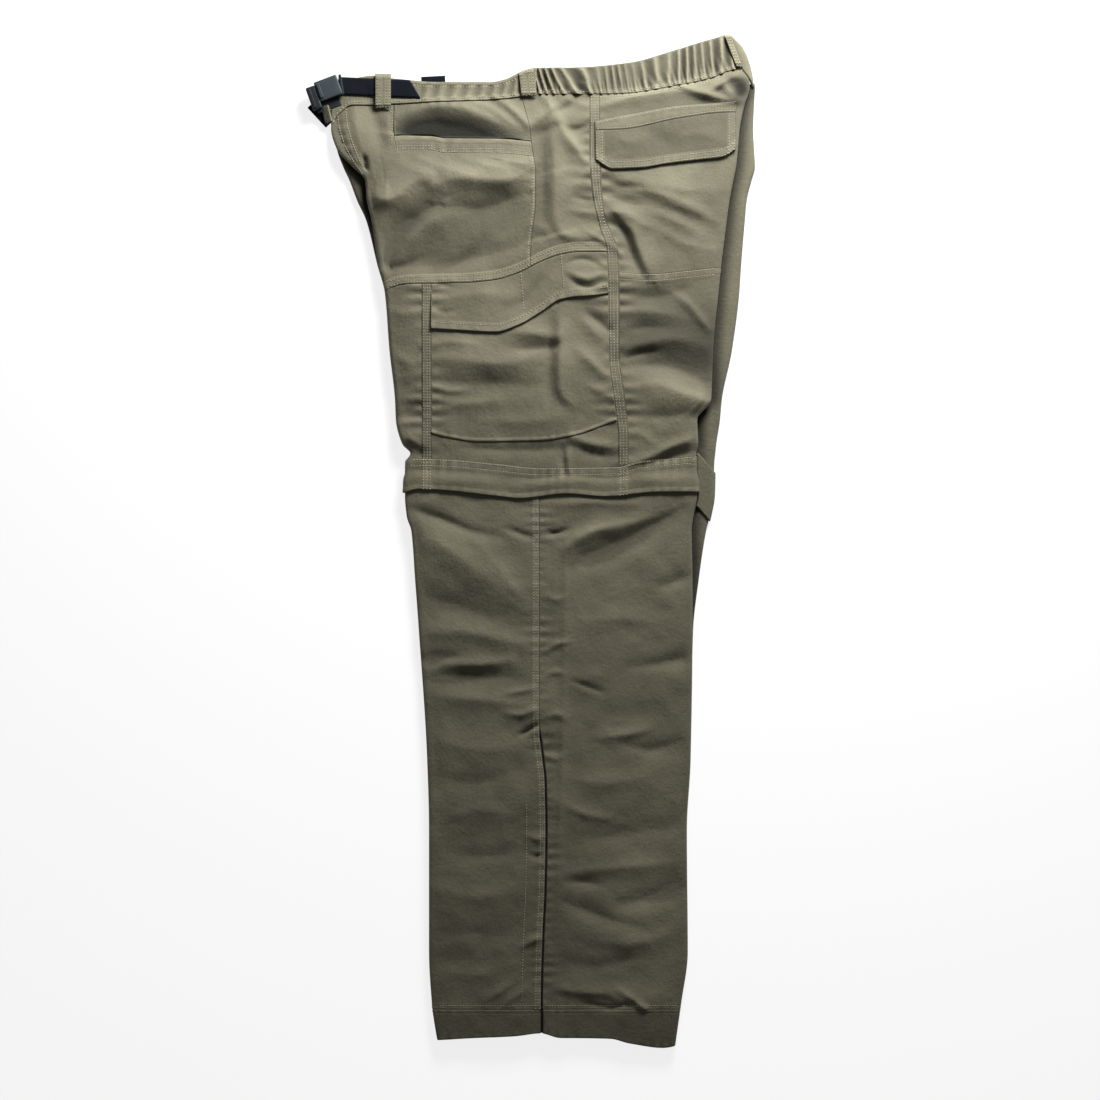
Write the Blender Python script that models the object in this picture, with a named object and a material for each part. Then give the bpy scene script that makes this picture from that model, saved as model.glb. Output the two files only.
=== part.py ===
"""Convertible zip-off trousers, folded in half along the centre front and back and laid on one side.

The wearer's left leg lies on top, with its outer side up: front edge towards -X, back edge
towards +X, waist towards +Y and hem towards -Y. The right leg lies under it, on the floor at z = 0.
Sizes are in millimetres and are turned into metres where points are made.
"""

import math
from collections import namedtuple

import bmesh
import bpy
from mathutils import Matrix, Vector

MM = 0.001

# Cloth and seams
CLOTH = 1.2
SEAM_GAP = 0.3
LAY_GAP = 0.55
FELL = 1.9
BAND = 2.4
FLAP = 1.7
WEBBING = 1.8

# The rolled edges where a leg folds over, and how the cloth swells and fades beside them
ROLL = 4.0
UNDER_ROLL = 5.0
ROLL_STEPS = 4
EDGE_SHARE = 0.66
CROWN_REACH = 34.0
FOLD_FADE = 14.0
SINK_REACH = 24.0

# Near the waist the stack is measured from the slanting waist edge
WAIST_MEAN = 500.0
LEVEL_START = 380.0
LEVEL_REACH = 80.0

# Hidden layers: everything between the floor and the top cloth
HIDDEN_NECK = 3.0
HIDDEN_SHIFT = 1.3
HIDDEN_ROLL = 1.3
HIDDEN_LEAST = 0.7
HIDDEN_TOP = 0.6
HIDDEN_WAIST_TOP = 2.2
HIDDEN_WAIST_SPLIT = 0.5
HIDDEN_WAIST_START = 400.0
HIDDEN_WAIST_REACH = 40.0
HIDDEN_COLUMNS = 12
HIDDEN_SHIN_ROWS = 16
HIDDEN_THIGH_ROWS = 27
THIGH_START = 10.0
SLANT_START = 330.0
HIDDEN_END = 474.0
WAIST_SLANT = 0.085

# Lower leg, its ankle zip and the hems
LEG_END = -507.0
ZIP_TOP = -204.0
ZIP_END = -531.0
ZIP_EASE = 34.0
ZIP_TURN = 10.0
ZIP_HIDDEN = 4.0
ZIP_WIDTH = 1.6
ZIP_ROOM = 0.5
ZIP_WALL = 1.0
HEM_ROWS = 3
LEFT_HEM_BELOW = (130, 95, 60, 25, -10, -45, -75)
RIGHT_HEM_INSET = 1.5
RIGHT_HEM_STEPS = 6
RIGHT_HEM_MIDDLE = 20.0
RIGHT_HEM_SIDE = 130.0

# Bands and flaps that lie over a zip or a pocket's mouth
OVERLAP = 12.0
POCKET_OVERLAP = 13.0
OVERLAP_CLEAR = 9.0
OVERLAP_RAMP = 7.0
KNEE_BAND_TURN = 0.55
SEAT_GAP = 0.4

# The lower leg's knee band, where it shows past the back edge
UNDER_BAND_LOW = 33.0
UNDER_BAND_HIGH = 92.0
UNDER_BAND_ROWS = 6
UNDER_BAND_START = 0.32
UNDER_BAND_STEPS = 6
UNDER_BAND_INSET = 1.0

# Hip pocket, let into the front of the thigh
POCKET_LEFT = -144.0
POCKET_CORNER = 1.5
POCKET_HEM = 17.0
FACING_SIDE_GAP = 0.9
FACING_BASE_GAP = 0.6

# Back pocket, which starts on the side fell
BACK_POCKET_START = -5.0
BACK_POCKET_END = 219.5

# Waistband: plain in front, gathered on elastic behind
CENTRE_BACK = 225.5
CENTRE_FRONT = -218.0
ELASTIC_START = 4.5
RUFFLES = 20
RUFFLE_HEIGHT = 0.95
RUFFLE_COLUMNS = 5
BAND_GAP = 0.4
BAND_CORNER_GAP = 1.4
BAND_CORNER_START = -178.0
BAND_CORNER_REACH = 18.0
WAIST_ROWS = 2
RIGHT_BAND_COLUMNS = 26
RIGHT_BAND_TURN_STEPS = 6
RIGHT_BAND_TURN_DROP = 12.0
RIGHT_BAND_DROP = 1.5
RIGHT_BAND_DROP_REACH = 20.0
RIGHT_BAND_END = -215.5

# Belt loops: where each stands, its half width, and how high it arches over the waistband
LOOP_RAMP = 0.13
LOOP_ROWS = 8
LOOP_TOP_GAP = 0.5
LOOP_PEAK = 1.6
FRONT_LOOP_PEAK = 2.45
FRONT_LOOP_X = -161.5
FRONT_LOOP_HALF = 8.6
FRONT_LOOP_SPAN = (467.0, 504.5)
SIDE_LOOP_X = -5.5
SIDE_LOOP_Y = 495.0
SIDE_LOOP_SLANT = -0.12
SIDE_LOOP_HALF = 8.4
SIDE_LOOP_BASE = 480.0
BACK_LOOP_X = 219.0
BACK_LOOP_Y = 530.0
BACK_LOOP_SLANT = -0.25
BACK_LOOP_HALF = 4.0
BACK_LOOP_BASE = 511.0

# Belt and buckle
BELT_HALF = 9.5
BELT_START = -210.0
BELT_END = -122.0
BELT_MIDDLE_X = -205.0
BELT_MIDDLE_Y = 491.5
BELT_SLANT = -0.045
BELT_CORNER = 0.7
BUCKLE_TURN = 27.0
BUCKLE_TILT = -4.0
BUCKLE_PLATE = (25.0, 21.0, 5.0)
BUCKLE_PLATE_CORNER = 1.6
BUCKLE_PLATE_PLACE = (-218.0, 486.5, 12.8)
BUCKLE_PLATE_SLOT = (3.0, 15.0, 12.0)
BUCKLE_PLATE_SLOT_PLACE = (-211.0, 490.0, 12.8)
BUCKLE_FRAME = (9.5, 23.0, 6.0)
BUCKLE_FRAME_CORNER = 1.8
BUCKLE_FRAME_PLACE = (-233.4, 478.1, 11.4)
BUCKLE_FRAME_SLOT = (2.6, 16.0, 14.0)
BUCKLE_FRAME_SLOT_PLACE = (-234.4, 477.6, 11.4)
LOWER_BELT = (18.0, 9.0, 1.8)
LOWER_BELT_PLACE = (-226.4, 459.8, 3.8)
LOWER_BELT_TURNS = (0.0, 12.0, -50.0)
BELT_TAIL = (26.0, 9.0, 1.6)
BELT_TAIL_PLACE = (-107.5, 498.2, 3.9)
BELT_TAIL_TURNS = (0.0, 0.0, 3.0)

# Cloth tab that hangs below the buckle
WAIST_TAB = (7.0, 15.0, 3.0)
WAIST_TAB_CORNER = 1.3
WAIST_TAB_PLACE = (-222.4, 459.0, 8.5)
WAIST_TAB_TURNS = (0.0, -35.0, 14.0)

Section = namedtuple("Section", "y left right under_left under_right")
OUTLINE = (
    Section(548, -215, 230, -213, 237),
    Section(512, -215, 233, -213, 238),
    Section(491, -215, 235, -213, 241),
    Section(470, -217, 229, -213, 240),
    Section(446, -218, 224, -215, 239),
    Section(424, -212, 222, -212, 240),
    Section(404, -195, 220, -205, 241),
    Section(389, -181, 217, -198, 237),
    Section(368, -179, 213, -190, 232),
    Section(346, -174, 210, -180, 230),
    Section(298, -167, 204, -168, 226),
    Section(268, -159, 201, -160, 224),
    Section(206, -154, 195, -155, 216),
    Section(152, -148, 193, -149, 205),
    Section(130, -147, 178, -148, 203),
    Section(104, -140, 179, -141, 199),
    Section(94, -132, 177, -132, 198),
    Section(85, -137, 177, -137, 197),
    Section(49, -138, 178, -137, 196),
    Section(26, -136, 174, -136, 192),
    Section(10, -131, 172, -131, 188),
    Section(-43, -127, 173, -127, 180),
    Section(-97, -123, 173, -123, 174),
    Section(-237, -114, 171, -114, 171),
    Section(-313, -112, 167, -112, 167),
    Section(-445, -112, 168, -112, 168),
    Section(-500, -109, 161, -109, 161),
    Section(-549, -102, 154, -102, 154),
)

# Height of the stack at each level: crown is the underside of the top cloth half way across,
# split is the top of the leg that lies below.
Stack = namedtuple("Stack", "level crown split")
STACK = (
    Stack(-550, 7.7, 3.9),
    Stack(-480, 9.0, 4.3),
    Stack(-300, 10.2, 4.7),
    Stack(0, 11.4, 5.2),
    Stack(60, 12.6, 5.8),
    Stack(130, 15.0, 6.8),
    Stack(250, 16.6, 7.6),
    Stack(350, 16.8, 7.6),
    Stack(410, 15.2, 6.8),
    Stack(438, 12.2, 5.4),
    Stack(456, 8.6, 4.0),
    Stack(470, 6.4, 2.9),
    Stack(500, 6.0, 2.6),
    Stack(550, 5.8, 2.6),
)

# Seams and edges that run across, as height over the place along X
Across = namedtuple("Across", "x y")
WAIST_TOP = (
    Across(-218, 478), Across(-210, 488), Across(-201, 496), Across(-188, 501), Across(-172, 503),
    Across(-152, 500), Across(-100, 496), Across(-46, 496), Across(-30, 499), Across(-8, 509),
    Across(3, 511), Across(51, 512), Across(105, 517), Across(159, 532), Across(192, 542),
    Across(217, 548), Across(238, 545),
)
WAIST_SEAM = (
    Across(-218, 449), Across(-209, 461), Across(-196, 470), Across(-170, 471), Across(-124, 473),
    Across(-35, 477), Across(8, 482), Across(94, 483), Across(159, 492), Across(197, 501),
    Across(211, 507), Across(240, 513),
)
POCKET_EDGE = (
    Across(-150, 437), Across(-138, 438), Across(-111, 438), Across(-95, 435), Across(-35, 434),
    Across(6, 430),
)
CARGO_SEAM = (
    Across(-165, 266), Across(-151, 273), Across(-138, 276), Across(-68, 278), Across(-40, 281),
    Across(-14, 289), Across(10, 301), Across(30, 308), Across(50, 311), Across(95, 311),
)
FLAP_EDGE = (
    Across(-112, 228), Across(-78, 226), Across(-40, 224), Across(-14, 232), Across(8, 245),
    Across(30, 259), Across(46, 262), Across(62, 263), Across(95, 268),
)
CARGO_BASE = (
    Across(-112, 116), Across(-94, 111), Across(-57, 106), Across(8, 107), Across(46, 113),
    Across(78, 124), Across(95, 130),
)
KNEE_SEAM = (
    Across(-150, 89), Across(-89, 87), Across(-35, 82), Across(8, 78), Across(91, 79),
    Across(116, 85), Across(190, 92),
)
KNEE_EDGE = (
    Across(-150, 47), Across(-122, 55), Across(-100, 54), Across(-35, 47), Across(-14, 45),
    Across(37, 50), Across(78, 47), Across(138, 52), Across(190, 52),
)
SEAT_SEAM = (
    Across(80, 290), Across(125, 287), Across(170, 291), Across(215, 296),
)
WELT_TOP = (Across(60, 451), Across(116, 462), Across(159, 469), Across(230, 474))
WELT_BASE = (Across(60, 442), Across(94, 443), Across(159, 455), Across(202, 461), Across(230, 462))
BACK_FLAP_EDGE = (
    Across(60, 418), Across(73, 407), Across(86, 400), Across(116, 401), Across(148, 406),
    Across(181, 410), Across(205, 413), Across(214, 418), Across(230, 432),
)
HEM = (
    Across(-110, -541), Across(-62, -538), Across(-19, -536), Across(9, -533), Across(30, -538),
    Across(84, -539), Across(105, -544), Across(141, -549), Across(160, -546),
)

# Seams that run down the leg, as place along X over the height
Down = namedtuple("Down", "y x")
FRONT_SEAM = (
    Down(482, -13), Down(465, -8), Down(449, -4), Down(427, -1), Down(395, 3), Down(368, 3),
    Down(319, -2), Down(290, -3),
)
POCKET_SIDE = (Down(471, -155), Down(438, -143.5))
SIDE_SEAM = (
    Down(484, 62), Down(416, 62), Down(373, 65), Down(338, 73), Down(314, 80), Down(271, 82),
    Down(195, 83), Down(146, 89), Down(109, 93), Down(75, 93),
)
SIDE_FELL = (
    Down(484, 72), Down(395, 73), Down(352, 77), Down(330, 85), Down(314, 91), Down(271, 93),
    Down(206, 93), Down(152, 99), Down(109, 103), Down(75, 103),
)
OUTER_SEAM = (
    Down(70, 7), Down(-192, 7), Down(-232, 11), Down(-259, 14), Down(-313, 15), Down(-377, 14),
    Down(-421, 12), Down(-496, 10), Down(-550, 10),
)
FRONT_PARTS = (0.0, 0.03, 0.065, 0.11, 0.165, 0.22, 0.281, 0.325, 0.38, 0.44, 0.51, 0.58, 0.65, 0.72,
               0.79, 0.86, 0.93, 1.0)
FRONT_FELL_LEFT = -119.0
FRONT_FELL_RIGHT = -109.5

# The largest folds of the cloth: ridges rise, troughs sink. Width is half the fold's breadth.
Fold = namedtuple("Fold", "x0 y0 x1 y1 height width")
FOLDS = (
    # front of the thigh
    Fold(-158, 300, -110, 352, 3.4, 15),
    Fold(-164, 356, -112, 386, -2.8, 12),
    Fold(-104, 404, -34, 390, 3.2, 14),
    Fold(-90, 376, -16, 384, -2.8, 12),
    # hip pocket facing and hem
    Fold(-138, 464, -12, 462, 2.2, 11),
    Fold(-132, 447, -8, 443, -1.6, 8),
    Fold(-130, 427, -10, 424, 1.6, 11),
    # side of the hip
    Fold(20, 468, 60, 402, 2.4, 11),
    Fold(20, 440, 20, 325, -2.2, 11),
    # seat
    Fold(80, 458, 160, 474, -1.8, 10),
    Fold(196, 492, 232, 478, -3.0, 11),
    Fold(80, 350, 124, 282, -2.4, 11),
    Fold(98, 366, 142, 296, 2.6, 14),
    # back of the thigh
    Fold(108, 258, 182, 284, -2.2, 13),
    Fold(96, 186, 186, 154, -2.6, 12),
    Fold(116, 160, 180, 138, 2.4, 12),
    Fold(106, 84, 172, 108, 1.8, 12),
    # cargo pocket, with the fullness of its bellows
    Fold(-60, 190, 50, 190, 2.6, 62),
    Fold(-104, 192, -8, 188, 2.0, 15),
    Fold(-98, 166, 8, 166, -2.4, 13),
    Fold(-24, 211, 22, 205, -2.0, 12),
    Fold(26, 256, 26, 156, -1.8, 11),
    Fold(52, 290, 54, 284, 2.0, 18),
    # front of the shin
    Fold(-118, 4, -20, -68, 2.2, 15),
    Fold(-98, -66, -36, -82, -1.8, 14),
    Fold(-108, -152, -34, -156, -1.4, 13),
    # back of the shin
    Fold(36, 2, 112, 18, 2.0, 13),
    Fold(44, -26, 160, 34, -2.0, 13),
    Fold(20, -496, 116, -503, -1.2, 12),
)

COLLECTION = "zip_off_trousers"
OLIVE = (0.275, 0.262, 0.190)
OLIVE_LIGHT = (0.300, 0.285, 0.208)
OLIVE_DARK = (0.235, 0.224, 0.165)
OLIVE_INSIDE = (0.200, 0.190, 0.142)
BELT_BLACK = (0.022, 0.025, 0.034)
BUCKLE_GREY = (0.092, 0.112, 0.125)
BUCKLE_DARK = (0.030, 0.036, 0.042)
ZIP_BLACK = (0.020, 0.020, 0.022)


def clear_scene():
    """Removes every object that the file opens with."""
    for item in list(bpy.data.objects):
        bpy.data.objects.remove(item, do_unlink=True)


def smooth_step(amount):
    """Eases from 0 to 1."""
    held = min(1.0, max(0.0, amount))
    return held * held * (3.0 - 2.0 * held)


def smooth_table(rows, key, column):
    """Returns a function that runs smoothly through one column of a table, with no overshoot."""
    ordered = sorted(rows, key=lambda row: getattr(row, key))
    places = [getattr(row, key) for row in ordered]
    values = [getattr(row, column) for row in ordered]
    spans = [b - a for a, b in zip(places, places[1:])]
    slopes = [(b - a) / span for a, b, span in zip(values, values[1:], spans)]
    tangents = [slopes[0]]
    for before, after in zip(slopes, slopes[1:]):
        meet = 0.0 if before * after <= 0.0 else 2.0 * before * after / (before + after)
        tangents.append(meet)
    tangents.append(slopes[-1])

    def value(place):
        if place <= places[0]:
            return values[0]
        if place >= places[-1]:
            return values[-1]
        row = max(index for index, start in enumerate(places) if start <= place)
        span = spans[row]
        part = (place - places[row]) / span
        blend = part * part * (3.0 - 2.0 * part)
        rise = span * part * (1.0 - part) ** 2
        fall = span * part * part * (part - 1.0)
        return (values[row] * (1.0 - blend) + values[row + 1] * blend
                + tangents[row] * rise + tangents[row + 1] * fall)

    return value


left_edge = smooth_table(OUTLINE, "y", "left")
right_edge = smooth_table(OUTLINE, "y", "right")
under_left_edge = smooth_table(OUTLINE, "y", "under_left")
under_right_edge = smooth_table(OUTLINE, "y", "under_right")
crown_at = smooth_table(STACK, "level", "crown")
split_at = smooth_table(STACK, "level", "split")
waist_top = smooth_table(WAIST_TOP, "x", "y")
waist_seam = smooth_table(WAIST_SEAM, "x", "y")
pocket_edge = smooth_table(POCKET_EDGE, "x", "y")
cargo_seam = smooth_table(CARGO_SEAM, "x", "y")
flap_edge = smooth_table(FLAP_EDGE, "x", "y")
cargo_base = smooth_table(CARGO_BASE, "x", "y")
knee_seam = smooth_table(KNEE_SEAM, "x", "y")
knee_edge = smooth_table(KNEE_EDGE, "x", "y")
seat_seam = smooth_table(SEAT_SEAM, "x", "y")
welt_top = smooth_table(WELT_TOP, "x", "y")
welt_base = smooth_table(WELT_BASE, "x", "y")
back_flap_edge = smooth_table(BACK_FLAP_EDGE, "x", "y")
hem_edge = smooth_table(HEM, "x", "y")
front_seam = smooth_table(FRONT_SEAM, "y", "x")
pocket_side = smooth_table(POCKET_SIDE, "y", "x")
side_seam = smooth_table(SIDE_SEAM, "y", "x")
side_fell = smooth_table(SIDE_FELL, "y", "x")
outer_seam = smooth_table(OUTER_SEAM, "y", "x")


def moved(line, distance):
    """Returns a seam line moved along its own value."""
    return lambda place: line(place) + distance


def steady(value):
    """Returns a straight line at one value."""
    return lambda place: value


def slanting(start_x, start_y, slant):
    """Returns a line that leans over, as place along X over the height."""
    return lambda y: start_x + (y - start_y) * slant


def lift_over(edge):
    """Returns how far a flap is lifted to lie over a piece that ends at the edge line."""
    def lift(point):
        x, y = point
        return (CLOTH + LAY_GAP) * smooth_step((edge(x) + OVERLAP_CLEAR - y) / OVERLAP_RAMP)
    return lift


def level(x, y):
    """The level in the stack: Y, counted from the slanting waist near the top of the garment."""
    return y - (waist_top(x) - WAIST_MEAN) * smooth_step((y - LEVEL_START) / LEVEL_REACH)


def fold_distance(fold, x, y):
    """Distance from a fold's line, in the plan."""
    along_x = fold.x1 - fold.x0
    along_y = fold.y1 - fold.y0
    part = ((x - fold.x0) * along_x + (y - fold.y0) * along_y) / (along_x ** 2 + along_y ** 2)
    held = min(1.0, max(0.0, part))
    return math.hypot(x - fold.x0 - held * along_x, y - fold.y0 - held * along_y)


def fold_height(x, y):
    """Sum of the folds at a place."""
    total = 0.0
    for fold in FOLDS:
        total += fold.height * math.exp(-(fold_distance(fold, x, y) / fold.width) ** 2)
    return total


def sink_depth(x, y):
    """How far the hidden layers keep below the troughs, with some room beside each."""
    total = 0.0
    for fold in FOLDS:
        if fold.height < 0.0:
            beside = max(0.0, fold_distance(fold, x, y) - SINK_REACH)
            total -= fold.height * math.exp(-(beside / fold.width) ** 2)
    return total


def front_roll_start(y):
    """Where the top leg's cloth starts to turn down at the front edge."""
    return left_edge(y) + CLOTH + ROLL


def back_roll_start(y):
    """Where the top leg's cloth starts to turn down at the back edge."""
    return right_edge(y) - CLOTH - ROLL


def split_height(x, y):
    """Top of the leg that lies below."""
    return split_at(level(x, y))


def roll_base(x, y):
    """Inner face of the top leg's cloth where it has turned under."""
    return split_height(x, y) + SEAM_GAP + CLOTH


def plain_height(x, y):
    """Inner face of the top cloth, without folds."""
    crown = crown_at(level(x, y))
    base = roll_base(x, y)
    edge = base + EDGE_SHARE * (crown - base)
    inward = max(0.0, min(x - front_roll_start(y), back_roll_start(y) - x))
    return edge + (crown - edge) * (1.0 - math.exp(-inward / CROWN_REACH))


def cloth_height(x, y):
    """Inner face of the top cloth, with its folds."""
    inward = min(x - front_roll_start(y), back_roll_start(y) - x)
    return plain_height(x, y) + fold_height(x, y) * smooth_step(inward / FOLD_FADE)


def on_cloth(place, y, lift):
    """A point over the top leg's cloth.

    place runs along X; past the start of a rolled edge it counts half turns instead, so -1 is the
    end of the cloth that is turned under at the front edge and 1 is the same at the back edge.
    """
    kind, value = place
    if kind == "flat":
        return Vector((value, y, cloth_height(value, y) + lift)) * MM
    side = -1.0 if kind == "front" else 1.0
    start = front_roll_start(y) if kind == "front" else back_roll_start(y)
    top = cloth_height(start, y)
    base = roll_base(start, y)
    turn = math.pi * value
    reach = (ROLL + lift) * math.sin(turn)
    high = 0.5 * (top + base) + (0.5 * (top - base) + lift) * math.cos(turn)
    return Vector((start + side * reach, y, high)) * MM


def even_parts(count):
    """Equal parts from 0 to 1."""
    return [step / count for step in range(count + 1)]


def columns_across(left, right, parts, turned=1.0):
    """Returns a function that gives a row's places from the left line to the right line.

    parts says how far across each column is. turned is how many half turns the cloth makes at a
    rolled edge.
    """
    if isinstance(parts, int):
        parts = even_parts(parts)

    def places(y):
        start = front_roll_start(y) if left == "front" else left(y)
        end = back_roll_start(y) if right == "back" else right(y)
        row = []
        if left == "front":
            row += [("front", turned * (1.0 - step / ROLL_STEPS)) for step in range(ROLL_STEPS)]
        row += [("flat", start + (end - start) * part) for part in parts]
        if right == "back":
            row += [("back", turned * (step + 1) / ROLL_STEPS) for step in range(ROLL_STEPS)]
        return row

    return places


def settle(places, column, part, bottom, top):
    """Finds the place and height where a column crosses a row of a piece with curved edges."""
    y = 0.5 * (bottom(0.0) + top(0.0))
    for _ in range(8):
        place = places(y)[column]
        x = on_cloth(place, y, 0.0).x / MM
        y = bottom(x) + (top(x) - bottom(x)) * part
    return places(y)[column], y, x


def material(name, colour, roughness=0.85, metallic=0.0):
    """A plain finish of one colour."""
    finish = bpy.data.materials.new(name)
    finish.use_nodes = True
    shader = finish.node_tree.nodes["Principled BSDF"]
    shader.inputs["Base Color"].default_value = (*colour, 1.0)
    shader.inputs["Roughness"].default_value = roughness
    shader.inputs["Metallic"].default_value = metallic
    return finish


def add_object(name, body, finish, home):
    """Turns a bmesh into a named object in the garment's collection."""
    bmesh.ops.recalc_face_normals(body, faces=body.faces[:])
    mesh = bpy.data.meshes.new(name)
    body.to_mesh(mesh)
    body.free()
    mesh.shade_smooth()
    mesh.set_sharp_from_angle(angle=math.radians(50.0))
    mesh.materials.append(finish)
    item = bpy.data.objects.new(name, mesh)
    home.objects.link(item)
    return item


def sheet(name, places, bottom, top, rows, finish, home, lift=steady(0.0), wall=CLOTH):
    """A wall of cloth over the leg, between two side lines and two cross lines.

    A flat grid is extruded once, and both of its faces are then laid on the leg's form.
    """
    columns = len(places(0.0)) - 1
    body = bmesh.new()
    bmesh.ops.create_grid(body, x_segments=columns, y_segments=rows, size=0.5)
    grown = bmesh.ops.extrude_face_region(body, geom=body.faces[:])
    outer = {vert for vert in grown["geom"] if isinstance(vert, bmesh.types.BMVert)}
    for vert in body.verts:
        column = round((vert.co.x + 0.5) * columns)
        part = round((vert.co.y + 0.5) * rows) / rows
        place, y, x = settle(places, column, part, bottom, top)
        raised = lift((x, y)) + (wall if vert in outer else 0.0)
        vert.co = on_cloth(place, y, raised)
    return add_object(name, body, finish, home)


def loft(name, sections, finish, home, closed=False):
    """A solid through sections of equal count, either capped or joined end to start."""
    body = bmesh.new()
    rings = [[body.verts.new(point) for point in section] for section in sections]
    count = len(rings[0])
    pairs = list(zip(rings, rings[1:]))
    if closed:
        pairs.append((rings[-1], rings[0]))
    for near, far in pairs:
        for index in range(count):
            after = (index + 1) % count
            body.faces.new((near[index], near[after], far[after], far[index]))
    if not closed:
        caps = [body.faces.new(rings[0]), body.faces.new(reversed(rings[-1]))]
        body.normal_update()
        bmesh.ops.triangulate(body, faces=caps, ngon_method="EAR_CLIP")
    return add_object(name, body, finish, home)


def arc(centre_x, centre_z, reach_x, reach_z, start, end, steps):
    """Points of an elliptic arc in the XZ plane, angles in half turns from straight down."""
    points = []
    for step in range(steps + 1):
        turn = math.pi * (start + (end - start) * step / steps)
        points.append((centre_x + reach_x * math.sin(turn), centre_z - reach_z * math.cos(turn)))
    return points


def near_waist(x, y):
    """Grows from 0 to 1 towards the waist, where the stack is pressed thin."""
    return smooth_step((level(x, y) - HIDDEN_WAIST_START) / HIDDEN_WAIST_REACH)


def filling_height(x, y):
    """Top of the hidden layers: under the plain cloth, and deeper under troughs and at the waist."""
    room = HIDDEN_TOP + HIDDEN_WAIST_TOP * near_waist(x, y) + sink_depth(x, y)
    return max(roll_base(x, y) + HIDDEN_LEAST, plain_height(x, y) - room)


def lower_top(x, y):
    """Top of the leg below, kept a little lower where the waist is pressed thin."""
    return split_height(x, y) - HIDDEN_WAIST_SPLIT * near_waist(x, y)


def hidden_section(base_y, slant):
    """One slice of the hidden layers: the leg below, a neck, and the filling of the leg above."""

    def y_at(x):
        return base_y + slant * x

    y_left = y_at(under_left_edge(base_y))
    y_right = y_at(under_right_edge(base_y))
    low_left = under_left_edge(y_left)
    low_right = under_right_edge(y_right)
    right_x = back_roll_start(y_right)
    left_x = front_roll_start(y_left)
    split_right = lower_top(right_x, y_right)
    split_left = lower_top(left_x, y_left)
    neck_right = min(right_x, low_right - UNDER_ROLL) - HIDDEN_NECK
    neck_left = max(left_x, low_left + UNDER_ROLL) + HIDDEN_NECK
    section = arc(low_right - UNDER_ROLL, 0.5 * split_right, UNDER_ROLL, 0.5 * split_right,
                  0.0, 1.0, ROLL_STEPS)
    base_right = roll_base(right_x, y_right) + SEAM_GAP
    upper_right = filling_height(right_x, y_right)
    section += [(neck_right, split_right), (neck_right, base_right)]
    section += arc(right_x - HIDDEN_SHIFT, 0.5 * (upper_right + base_right), HIDDEN_ROLL,
                   0.5 * (upper_right - base_right), 0.0, 1.0, ROLL_STEPS)
    for step in range(1, HIDDEN_COLUMNS):
        x = right_x + (left_x - right_x) * step / HIDDEN_COLUMNS
        section.append((x, filling_height(x, y_at(x))))
    base_left = roll_base(left_x, y_left) + SEAM_GAP
    upper_left = filling_height(left_x, y_left)
    section += arc(left_x + HIDDEN_SHIFT, 0.5 * (upper_left + base_left), HIDDEN_ROLL,
                   0.5 * (upper_left - base_left), 1.0, 2.0, ROLL_STEPS)
    section += [(neck_left, base_left), (neck_left, split_left)]
    section += arc(low_left + UNDER_ROLL, 0.5 * split_left, UNDER_ROLL, 0.5 * split_left,
                   1.0, 2.0, ROLL_STEPS)
    return [Vector((x, y_at(x), max(0.0, z))) * MM for x, z in section]


def hidden_layers(finish, home):
    """The one rounded solid of all the layers that don't show."""
    levels = [LEG_END + SEAM_GAP + (THIGH_START - LEG_END) * row / HIDDEN_SHIN_ROWS
              for row in range(HIDDEN_SHIN_ROWS)]
    levels += [THIGH_START + (HIDDEN_END - THIGH_START) * row / HIDDEN_THIGH_ROWS
               for row in range(HIDDEN_THIGH_ROWS + 1)]
    sections = []
    for base in levels:
        slant = WAIST_SLANT * smooth_step((base - SLANT_START) / (HIDDEN_END - SLANT_START))
        sections.append(hidden_section(base, slant))
    return loft("hidden_layers", sections, finish, home)


def waist_line(x):
    """The straight line where the hidden layers stop, inside the waist."""
    return HIDDEN_END + WAIST_SLANT * x


def wall_section(inner, outer):
    """The outline of a wall's slice, from points along its inner and outer side."""
    return list(inner) + list(reversed(outer))


def left_hem(finish, home):
    """Hem of the top leg: a turned band, open at the ankle zip."""
    sections = []
    gap = 0.5 * ZIP_WIDTH + ZIP_ROOM

    def add(route):
        inner = [route(row / HEM_ROWS, 0.0) for row in range(HEM_ROWS + 1)]
        outer = [route(row / HEM_ROWS, CLOTH) for row in range(HEM_ROWS + 1)]
        sections.append(wall_section(inner, outer))

    def over(column, places):
        def route(part, lift):
            place, y, _ = settle(places, column, part, hem_edge, steady(LEG_END - SEAM_GAP))
            return on_cloth(place, y, lift)
        return route

    def below(x):
        def route(part, lift):
            y = hem_edge(x) + (LEG_END - SEAM_GAP - hem_edge(x)) * part
            return Vector((x, y, roll_base(x, y) - lift)) * MM
        return route

    back = columns_across(moved(outer_seam, gap), "back", 9)
    for column in range(len(back(0.0))):
        add(over(column, back))
    for x in LEFT_HEM_BELOW:
        add(below(x))
    front = columns_across("front", moved(outer_seam, -gap), 8)
    for column in range(len(front(0.0))):
        add(over(column, front))
    return loft("left_hem", sections, finish, home)


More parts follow.
